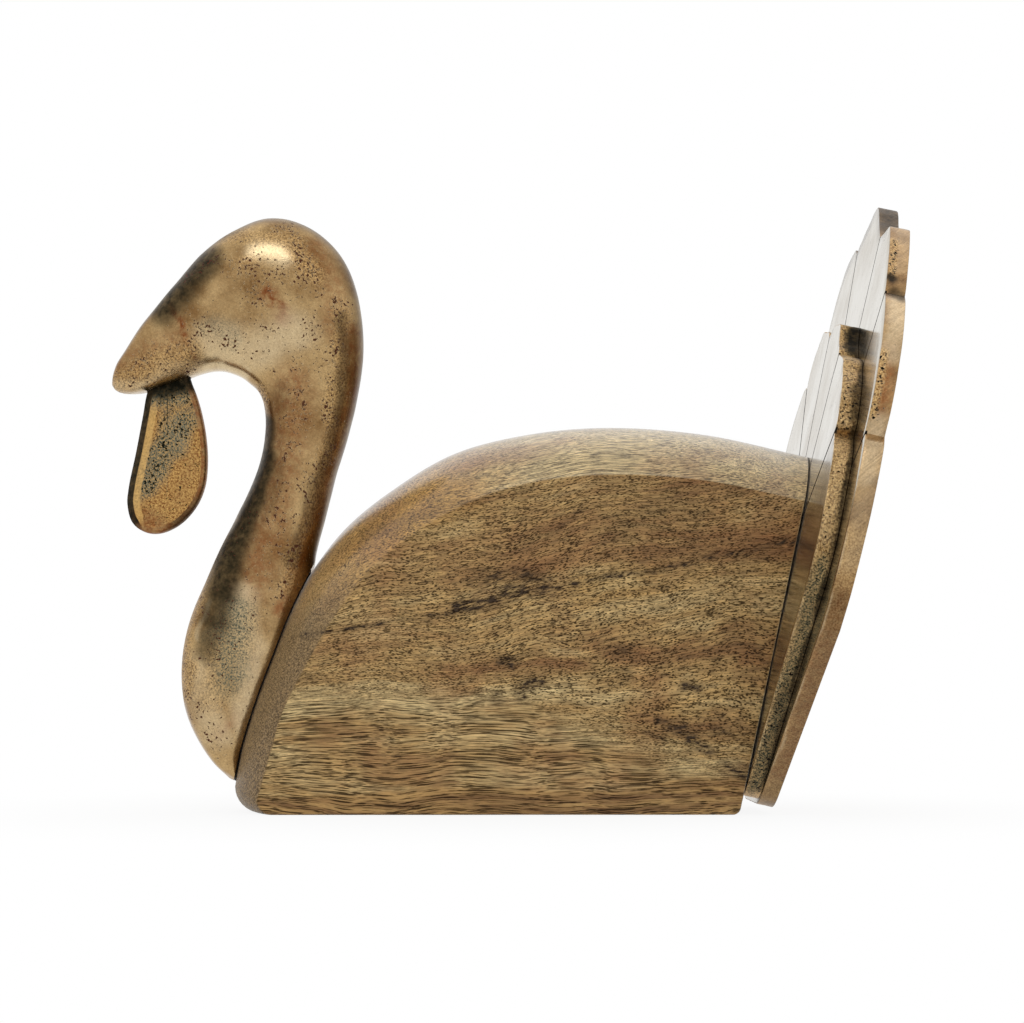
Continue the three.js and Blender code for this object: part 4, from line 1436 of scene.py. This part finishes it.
@dataclass
class TailPlate:
    """One of the two fan plates, with scalloped lobes and saw cuts between the feathers."""

    name: str
    node: str
    hub: float
    radius: float
    foot: float
    foot_width: float
    foot_thickness: float
    top_thickness: float
    origin: tuple[float, float, float]
    lean: float
    lobes: tuple[Pairs, ...]
    cut_headings: tuple[float, ...]
    edge: Edge
    film: Strokes = ()
    pits: Strokes = ()
    copper: Strokes = ()
    green: Strokes = ()
    worn: Strokes = ()
    grain: Strokes = ()
    foot_radius: float = 6.0
    cut_width: float = 1.1
    cut_depth: float = 0.5
    cut_inner_share: float = 0.3
    spacing: float = 0.9
    rings: int = 24
    # Steps of the rim: insets from front to rear, and depths down to the middle
    rim_insets: tuple[float, ...] = (0.3, 0.1, 0.02, 0, 0, 0, 0, 0, 0, 0.03, 0.1)
    rim_depths: tuple[float, ...] = (0, 0.1, 0.3, 0.8, 1.6, 2.5)
    wave_height: float = 0.14
    wave_length: float = 26.0

    def edge_point(self, pair: Pair) -> np.ndarray:
        """A point of the edge from its angle from straight up and its share of the radius."""
        turn = math.radians(pair[0])
        return np.array([math.sin(turn), math.cos(turn)]) * pair[1] * self.radius

    def outline(self) -> np.ndarray:
        """The plate's edge round its hub: a smooth curve through each lobe, then the foot.

        Returns:
            Points (across, up from the hub), from the near flank over the top to the far one
            and back along the foot.
        """
        parts = []
        for lobe in self.lobes:
            controls = np.array([self.edge_point(pair) for pair in lobe])
            parts.append(even_steps(smooth_curve(controls, 80), self.spacing)[:-1])
        near = parts[0][0]
        far = self.edge_point(self.lobes[-1][-1])
        low = self.foot - self.hub
        feet = np.array([[self.foot_width / 2, low], [-self.foot_width / 2, low]])
        before = far
        for corner, after in ((feet[0], feet[1]), (feet[1], near)):
            start = corner + (before - corner) / np.linalg.norm(before - corner) * self.foot_radius
            end = corner + (after - corner) / np.linalg.norm(after - corner) * self.foot_radius
            parts.append(even_steps(np.array([before, start]), self.spacing)[:-1])
            t = np.linspace(0, 1, 9)[:-1, None]
            parts.append((1 - t) ** 2 * start + 2 * t * (1 - t) * corner + t * t * end)
            before = end
        parts.append(even_steps(np.array([before, near]), self.spacing)[:-1])
        return np.concatenate(parts)

    def thickness(self, up: np.ndarray) -> np.ndarray:
        """Thickness at a height up the slope, from the foot's to the top's."""
        grow = (self.top_thickness - self.foot_thickness) / (self.hub + self.radius)
        return self.foot_thickness + grow * up

    def place(self, across: np.ndarray, up: np.ndarray, back: np.ndarray) -> np.ndarray:
        """Turns the plate's own coordinates (from the table's level) into the figure's."""
        sine, cosine = math.sin(self.lean), math.cos(self.lean)
        x = self.origin[0] + up * sine + back * cosine
        z = self.origin[2] + up * cosine - back * sine
        return np.stack([x, across, z], -1)

    def solid(self) -> bpy.types.Object:
        """Makes the plate: a rounded rim round the outline, and faces that shrink to the hub.

        The rim stands in and out by a random field, more on an edge left as cast, and the
        outer face undulates a little, as a casting's does.

        Returns:
            The object, its faces numbered by their finish.
        """
        line = self.outline()
        outward = left_of(line)
        full = self.thickness(line[:, 1] + self.hub)
        insets = np.array(self.rim_insets)
        depths = np.array(self.rim_depths)
        usual = 2 * depths[-1]
        shares = np.concatenate([depths / usual, 1 - depths[-2::-1] / usual])
        rough = 1.0 if self.edge is Edge.AS_CAST else 0.35
        levels = np.repeat(shares * usual, len(line))
        spots = np.column_stack([np.tile(line, (len(shares), 1)), levels])
        grit = 0.16 * lump_noise(spots, 1.3, Seed.EDGE_GRIT)
        grit = grit + 0.14 * lump_noise(spots, 4.5, Seed.EDGE_LUMPS)
        grit = (grit.reshape(len(shares), -1) - 0.12) * rough
        grit *= ease(1 - np.abs(2 * shares - 1), 0.0, 0.15)[:, None]
        inset = insets[:, None] - grit
        rims = line[None] - outward[None] * inset[:, :, None]
        back = shares[:, None] * full[None]
        skin = Skin()
        rim = skin.grid(self.place(rims[:, :, 0], rims[:, :, 1] + self.hub, back))
        skin.wrap(rim, Face.RIM)
        shrink = 1 - np.linspace(0, 1, self.rings + 1)[1:-1]
        for side, flip in ((0, True), (-1, False)):
            start = rims[side]
            spread = start[None] * shrink[:, None, None]
            up = spread[:, :, 1] + self.hub
            level = self.thickness(up) if side else 0 * up
            spot = np.stack([spread[:, :, 0], spread[:, :, 1], level * 9], -1).reshape(-1, 3)
            outer = (side == 0) == (self.edge is Edge.AS_CAST)
            wave = lump_noise(spot, self.wave_length, Seed.PLATE_WAVES).reshape(up.shape)
            wave = (self.wave_height if outer else 0.0) * wave
            wave *= ease(1 - shrink, 0, 0.12)[:, None]
            sheet = skin.grid(self.place(spread[:, :, 0], up, level + wave))
            stack = np.concatenate([rim[side][None], sheet])
            finish = Face.REAR if side else Face.FRONT
            skin.wrap(stack, finish, flip=flip)
            middle = self.thickness(np.array(self.hub)) if side else np.array(0.0)
            centre = skin.grid(self.place(np.array(0.0), np.array(self.hub), middle)[None, None])
            skin.cap(sheet[-1], centre[0, 0], finish, flip=not flip)
        thing = skin.build(self.name)
        put_fields(thing, rim=np.arange(skin.count) < rims.shape[0] * rims.shape[1])
        return thing

    def layers(self, thing: bpy.types.Object) -> np.ndarray:
        """Depth of each vertex behind the plate's front face, in millimetres."""
        places = places_of(thing)
        sine, cosine = math.sin(self.lean), math.cos(self.lean)
        return (places[:, 0] - self.origin[0]) * cosine - (places[:, 2] - self.origin[2]) * sine

    def cutters(self) -> bpy.types.Object:
        """Makes the saw blades' paths: from each notch a straight cut inwards, as a thin box.

        Returns:
            One object of all the boxes.
        """
        skin = Skin()
        for heading, lobe in zip(self.cut_headings, self.lobes[1:]):
            notch = self.edge_point(lobe[0])
            turn = math.radians(heading)
            out = np.array([math.sin(turn), math.cos(turn)])
            side = np.array([out[1], -out[0]]) * self.cut_width / 2
            start = notch + out * 2
            end = notch - out * (lobe[0][1] - self.cut_inner_share) * self.radius
            corners = np.array([start - side, end - side, end + side, start + side])
            across, up = np.stack([corners.T] * 2, 1)
            back = np.array([[-self.cut_depth], [self.cut_depth]]) + 0 * across
            loop = skin.grid(self.place(across, up + self.hub, back))
            skin.wrap(loop, Face.CUT, flip=True)
            skin.keep(loop[:1], Face.CUT, True)
            skin.keep(loop[1:], Face.CUT, False)
        return skin.build(self.name + "_cuts")

    def dress(self, thing: bpy.types.Object, finishes: tuple[bpy.types.Material, ...]) -> None:
        """Works out wear and patina at each vertex and puts the piece in place.

        On the rim the strokes lie in the depth behind the front face and the height above
        the table. The rear faces get an even film, and the front faces a painted reflection of
        the wooden block, brown below the height of its back.

        Args:
            thing: The plate, with its cuts.
            finishes: Its materials, in the order of their numbers.
        """
        places = places_of(thing)
        layer = self.layers(thing)
        spots = np.stack([layer, places[:, 1] * 0.2, places[:, 2]], 1)
        wear = {
            name: painted(spots, getattr(self, name), 0.7, Seed.PLATE_WEAR + i)
            for i, name in enumerate(("film", "pits", "copper", "green", "worn", "grain"))
        }
        # Painted reflection: the front faces turn brown below 88 to 104 mm, where they would mirror
        # the wooden block; the rear faces get an even film
        low = 1 - ease(places[:, 2], 88, 104)
        faces = np.where(layer > self.foot_thickness / 2, 0.35, 0.6 * low)
        rim = wear["film"] * (2 - wear["film"])
        wear["film"] = np.where(get_field(thing, "rim") > 0.5, rim, faces)
        put_fields(thing, **wear)
        finish_piece(thing, finishes, self.node, crease=30)


LEAN = math.radians(12.07)

FRONT_PLATE = TailPlate(
    name="front_plate",
    node="tail_front_fan",
    hub=71.0,
    radius=80.3,
    foot=5.0,
    foot_width=48.0,
    foot_thickness=4.22,
    top_thickness=5.42,
    origin=(63.807, 0.0, 0.0),
    lean=LEAN,
    edge=Edge.AS_CAST,
    cut_headings=(-62, -28, 6, 43, 65),
    lobes=(
        ((-96, 0.925), (-88, 0.965), (-76, 0.955), (-71.3, 0.95), (-68.1, 0.928), (-63.7, 0.888)),
        (
            (-63.7, 0.888), (-62.8, 0.918), (-59.3, 0.922), (-55.5, 0.92), (-50.7, 0.909),
            (-45.2, 0.889), (-42.3, 0.885), (-35, 0.834), (-30.1, 0.805),
        ),
        (
            (-30.1, 0.805), (-28.6, 0.812), (-23.4, 0.819), (-20.1, 0.836), (-17.3, 0.856),
            (-12, 0.847), (-6, 0.841), (0, 0.835), (4.8, 0.815),
        ),
        (
            (4.8, 0.815), (7.5, 0.844), (14.6, 0.879), (21, 0.924), (23.7, 0.926), (27.1, 0.926),
            (30.6, 0.93), (33.6, 0.925), (36.3, 0.909), (38.5, 0.865),
        ),
        (
            (38.5, 0.865), (41.3, 0.911), (44.7, 0.942), (47.9, 0.956), (51, 0.972), (54, 0.985),
            (56.8, 0.995), (59.6, 1.0), (62.5, 0.99), (66, 0.95),
        ),
        ((66, 0.95), (69, 0.975), (76, 0.985), (88, 0.98), (97, 0.93)),
    ),
    film=stroke_table(
        (3.0, 1.0, (4.2, 131.5), (4.2, 126)), (1.8, 0.8, (2.4, 126.5), (4, 126)),
        (1.5, 0.6, (5.2, 126), (5.0, 100)), (2.0, 0.5, (3.6, 112), (3.8, 104)),
        (1.2, 0.6, (5.0, 100), (4.7, 60), (4.3, 8)), (3.4, 0.2, (3, 34), (2.6, 8)),
    ),
    green=stroke_table(
        (3.0, 0.5, (3.6, 132), (3.6, 125)), (1.8, 0.25, (3.8, 86), (3.6, 66)),
        (3.4, 0.9, (2.6, 66), (2.4, 36), (2.4, 8)),
    ),
    pits=stroke_table(
        (2.4, 0.9, (1.2, 133), (1.0, 126)), (4.6, 0.8, (2.2, 124), (2.4, 100)),
        (4.6, 0.5, (2.4, 100), (2.4, 40)), (3.6, 0.8, (2.4, 40), (2.4, 8)),
    ),
    # The last worn stroke, along the rim's front corner, is wear there and in part a painted
    # highlight
    worn=stroke_table(
        (2.6, 0.7, (1.4, 122), (1.4, 110)), (3.4, 0.9, (1.6, 104), (1.8, 72)),
        (0.5, 0.8, (0.1, 128), (0.1, 10)),
    ),
    grain=stroke_table((9.0, 0.75, (2.2, 133), (2.2, 60)), (9.0, 0.6, (2.2, 60), (2.2, 8))),
)

BACK_PLATE = TailPlate(
    name="back_plate",
    node="tail_back_fan",
    hub=58.0,
    radius=117.0,
    foot=3.6,
    foot_width=45.0,
    foot_thickness=4.4,
    top_thickness=5.5,
    origin=(68.012, 0.0, -0.899),
    lean=LEAN + math.atan(1.2 / 151.3),
    edge=Edge.GROUND,
    cut_headings=(-63, -40, -8, 24, 45, 65),
    lobes=(
        (
            (-94.4, 0.723), (-88.1, 0.773), (-82.3, 0.805), (-75.7, 0.837), (-69, 0.852),
            (-66, 0.852), (-63.9, 0.838),
        ),
        (
            (-63.9, 0.838), (-63, 0.845), (-61.6, 0.863), (-59.4, 0.88), (-56.9, 0.891),
            (-53.9, 0.898), (-51.1, 0.906), (-47.1, 0.908), (-43.7, 0.906), (-40.2, 0.903),
            (-37.7, 0.894),
        ),
        (
            (-37.7, 0.894), (-37, 0.9), (-34.3, 0.911), (-31, 0.924), (-27.6, 0.938),
            (-25.2, 0.947), (-23, 0.955), (-21.5, 0.958), (-17, 0.932), (-11.7, 0.911),
        ),
        (
            (-11.7, 0.911), (-8.3, 0.93), (-5, 0.953), (-1.9, 0.981), (1.1, 1.0), (4.6, 1.0),
            (7.8, 0.99), (11.2, 0.986), (14, 0.981), (16.3, 0.98), (17.6, 0.972),
        ),
        (
            (17.6, 0.972), (20.4, 1.008), (22.5, 1.02), (25, 1.032), (27.9, 1.043), (29.9, 1.044),
            (31.6, 1.038), (33.4, 1.032), (35.1, 1.024), (36.5, 1.007), (38.1, 0.99), (42, 0.94),
        ),
        ((42, 0.94), (45, 0.95), (50, 0.945), (56, 0.925), (62, 0.89), (67, 0.85)),
        ((67, 0.85), (69, 0.862), (77, 0.845), (84, 0.81), (90, 0.77), (95.5, 0.72)),
    ),
    film=stroke_table(
        (1.5, 1.0, (0.7, 141), (1.6, 140)), (2.2, 0.5, (2, 136.5), (4.6, 134.5)),
        (5.8, 0.6, (3, 173), (3, 161.5)), (4.5, 0.22, (3, 56), (3, 4)),
    ),
    pits=stroke_table(
        (1.9, 1.0, (1.2, 152), (1.3, 142)), (1.9, 1.0, (0.8, 118), (0.8, 102)),
        (2.2, 0.6, (2, 101), (4, 100)),
    ),
    copper=stroke_table(
        (2.0, 0.5, (1.2, 150), (1.2, 142)), (3.6, 0.75, (1.8, 120), (2.2, 103)),
        (4.4, 0.6, (3, 56), (3, 12)),
    ),
    # The last worn stroke, along the rim's front corner, is wear there and in part a painted
    # highlight
    worn=stroke_table(
        (3.4, 0.2, (3.4, 156), (3.8, 144)), (4.6, 0.7, (3, 133), (3, 118)),
        (4.6, 0.65, (2.5, 100), (2.5, 86)), (4.6, 0.3, (3, 86), (3, 66)),
        (0.4, 0.7, (0.1, 90), (0.1, 6)),
    ),
    grain=stroke_table(
        (1.8, 0.7, (1.0, 152), (1.1, 142)), (1.8, 0.8, (0.8, 118), (0.8, 103)),
        (8.0, 0.25, (3, 70), (3, 8)),
    ),
)


# Fasteners


@dataclass
class ScrewHoles:
    """Countersunk holes through both plates, for the three screws from behind."""

    places: Pairs = ((0.0, 65.12), (-14.0, 22.58), (14.0, 22.58))
    shank_radius: float = 2.5
    head_radius: float = 4.5
    head_depth: float = 2.4
    sides: int = 48
    # Gap between the plates, how deep the heads sit, and how far the cutter stands out
    plate_gap: float = 0.08
    sunk: float = 0.3
    overrun: Pair = (1.5, 2.0)

    def cutter(self) -> bpy.types.Object:
        """Makes one object of the three holes, each a profile turned round its axis.

        Returns:
            The object.
        """
        skin = Skin()
        turn = np.arange(self.sides) / self.sides * 2 * math.pi
        for across, up in self.places:
            both = FRONT_PLATE.thickness(up) + self.plate_gap + BACK_PLATE.thickness(up)
            depth = both - self.sunk
            levels = -self.overrun[0], depth - self.head_depth, depth, depth + self.overrun[1]
            radii = [self.shank_radius] * 2 + [self.head_radius] * 2
            profile = np.array([radii, levels]).T
            x = across + profile[:, :1] * np.cos(turn)
            y = up + profile[:, :1] * np.sin(turn)
            rings = skin.grid(FRONT_PLATE.place(x, y, profile[:, 1:] + 0 * turn))
            skin.wrap(rings, Face.CUT, flip=True)
            skin.keep(rings[:1], Face.CUT, True)
            skin.keep(rings[-1:], Face.CUT, False)
        return skin.build("screw_holes")


# Studio


@dataclass
class Studio:
    """Camera, floor and soft light; places and lamps are in metres, turns in degrees."""

    camera_place: tuple[float, float, float] = (-0.00322, -0.79808, 0.03476)
    camera_turn: tuple[float, float, float] = (93.49, 0.0, -0.4)
    lens: float = 100.38
    sensor: float = 36.0
    sky: float = 0.82
    floor_glow: float = 0.9
    floor_reach_mm: float = 3000.0

    def camera(self) -> None:
        """Sets the camera where the photograph's stood."""
        data = bpy.data.cameras.new("camera")
        data.lens = self.lens
        data.sensor_width = self.sensor
        data.clip_start = 0.01
        view = bpy.data.objects.new("camera", data)
        view.location = self.camera_place
        view.rotation_euler = [math.radians(turn) for turn in self.camera_turn]
        bpy.context.collection.objects.link(view)
        bpy.context.scene.camera = view

    def see(self, nodes: Nodes) -> None:
        """Adds "seen": one for rays from the camera, mirrored, or passed through glass."""
        nodes.add("camera", "LightPath", output="Is Camera Ray")
        nodes.add("glossy", "LightPath", output="Is Glossy Ray")
        nodes.add("through", "LightPath", output="Is Transmission Ray")
        nodes.add("either", "Math", {0: "camera", 1: "glossy"}, operation="MAXIMUM")
        nodes.add("seen", "Math", {0: "either", 1: "through"}, operation="MAXIMUM")

    def world(self) -> None:
        """Makes an even white surround, at strength 1 for the camera and for reflections."""
        world = bpy.data.worlds.new("studio")
        world.use_nodes = True
        nodes = Nodes(world.node_tree)
        self.see(nodes)
        nodes.add("strength", "MapRange", {"Value": "seen", "To Min": self.sky, "To Max": 1.0})
        nodes.add("light", "Background", {"Color": linear("#ffffff"), "Strength": "strength"})
        nodes.add("out", "OutputWorld", {"Surface": "light"})
        bpy.context.scene.world = world

    def floor(self) -> None:
        """Makes the pale floor, which glows white to the camera and keeps a soft shadow."""
        skin = Skin()
        reach = np.linspace(-self.floor_reach_mm, self.floor_reach_mm, 9)
        across, along = np.meshgrid(reach, reach, indexing="ij")
        skin.weave(skin.grid(np.stack([across, along, 0 * across], 2)))
        sheet = skin.build("floor")
        material, nodes = start_material("matt_white_sweep")
        self.see(nodes)
        whiter = {"Value": "away", "From Min": 0.05, "From Max": 0.2, "To Min": self.floor_glow}
        nodes.add("matt", "BsdfDiffuse", {"Color": linear("#e2e2df")})
        nodes.add("glow", "Emission", {"Color": linear("#ffffff"), "Strength": 1.0})
        nodes.add("away", "VectorMath", {0: "place"}, "Value", operation="LENGTH")
        nodes.add("whiter", "MapRange", whiter, interpolation_type="SMOOTHSTEP")
        nodes.add("share", "Math", {0: "seen", 1: "whiter"}, operation="MULTIPLY")
        nodes.add("surface", "MixShader", {0: "share", 1: "matt", 2: "glow"})
        nodes.add("out", "OutputMaterial", {"Surface": "surface"})
        sheet.data.materials.append(material)

    def lamp(self, name: str, place: tuple, aim: tuple, size: Pair, watts: float) -> None:
        """Hangs a softbox.

        Args:
            name: Its name.
            place: Where it hangs.
            aim: The point that it faces.
            size: Its width and height.
            watts: Its power.
        """
        data = bpy.data.lights.new(name, "AREA")
        data.shape = "RECTANGLE"
        data.size, data.size_y = size
        data.energy = watts
        box = bpy.data.objects.new(name, data)
        box.location = place
        x, y, z = np.array(aim) - np.array(place)
        tilt, swing = math.atan2(math.hypot(x, y), -z), math.atan2(y, x) - math.pi / 2
        box.rotation_euler = (tilt, 0, swing)
        bpy.context.collection.objects.link(box)

    def build(self) -> None:
        """Sets up the whole studio."""
        self.camera()
        self.world()
        self.floor()
        self.lamp("key", (-0.02, -0.68, 0.8), aim=(-0.02, 0, 0.08), size=(0.5, 0.34), watts=0.75)
        self.lamp("back", (0.1, 0.5, 1.1), aim=(0, 0, 0.1), size=(1.5, 0.9), watts=2.2)
        bpy.context.scene.view_settings.view_transform = "Standard"


# The figure


def report(thing: bpy.types.Object) -> None:
    """Reports a finished piece."""
    log.info("%s: %d faces", thing.name, len(thing.data.polygons))


def main() -> None:
    """Builds the studio and then each piece of the figure, and reports them."""
    logging.basicConfig(level=logging.INFO, format="%(name)s: %(message)s")
    Studio().build()
    leaf_brass = AntiqueBrass(
        name="patinated_leaf_brass",
        golden="#a8875a",
        brown="#8f7552",
        worn="#d3ab68",
        verdigris="#949582",
        verdigris_deep="#2c4239",
        film="#24231b",
        grain_low="#824e26",
        grain_high="#d8b06c",
        pit="#26281e",
        pit_size=0.6,
        grain=0.55,
        cloud=4.0,
        gloss=0.42,
        relief=0.2,
    )
    edge_brass = AntiqueBrass(
        name="rough_cast_edge_brass",
        golden="#a8875c",
        brown="#7e6142",
        copper="#8f5d38",
        film="#211d16",
        verdigris="#59604f",
        verdigris_deep="#1f2b25",
        grain_low="#6b4826",
        grain_high="#e0bd82",
        worn="#cbb592",
        pit="#1f1912",
        pit_size=0.75,
        cloud=7.0,
        gloss=0.27,
        relief=0.25,
        grinding=1.0,
    )
    rear_brass = BrushedPlateBrass("antiqued_rear_brass", "#b8925c", "#8c6b43", "#3d2d1c")

    block = WoodenBlock()
    body = block.solid("wood_block")
    block.dress(body, MangoWood().build())
    report(body)

    neck = NeckCasting()
    leaf = WattleLeaf()
    casting = neck.solid("neck_casting")
    carve(casting, block.solid("seat", SEAT_GAP))
    carve(casting, leaf.solid(neck, SLOT_GAP))
    neck.dress(casting, AntiqueBrass().build())
    report(casting)

    glue = neck.solid("neck_joint_epoxy", GLUE_INSET)
    carve(glue, block.solid("skin", GLUE_TOP), Cut.INSIDE)
    carve(glue, block.solid("bare", GLUE_FOOT))
    finish_piece(glue, (DarkEpoxy().build(),), None, crease=40)
    report(glue)

    wattle = leaf.solid(neck)
    leaf.dress(wattle, leaf_brass.build())
    report(wattle)

    kinds = BrushedPlateBrass(), edge_brass, CutOxide(), rear_brass
    finishes = tuple(kind.build() for kind in kinds)
    for plate in (FRONT_PLATE, BACK_PLATE):
        sheet = plate.solid()
        cutters = plate.cutters(), ScrewHoles().cutter()
        for thing in (sheet, *cutters):
            for finish in finishes:
                thing.data.materials.append(finish)
        for cutter in cutters:
            carve(sheet, cutter)
        numbers = np.empty(len(sheet.data.polygons), np.int32)
        sheet.data.polygons.foreach_get("material_index", numbers)
        plate.dress(sheet, finishes)
        sheet.data.polygons.foreach_set("material_index", numbers)
        report(sheet)

    zinc = ZincSteel().build()
    for name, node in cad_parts.items():
        if name.startswith(("neck_stud", "tail_screw")):
            node.data.materials.clear()
            node.data.materials.append(zinc)
            report(node)


if __name__ == "__main__":
    main()
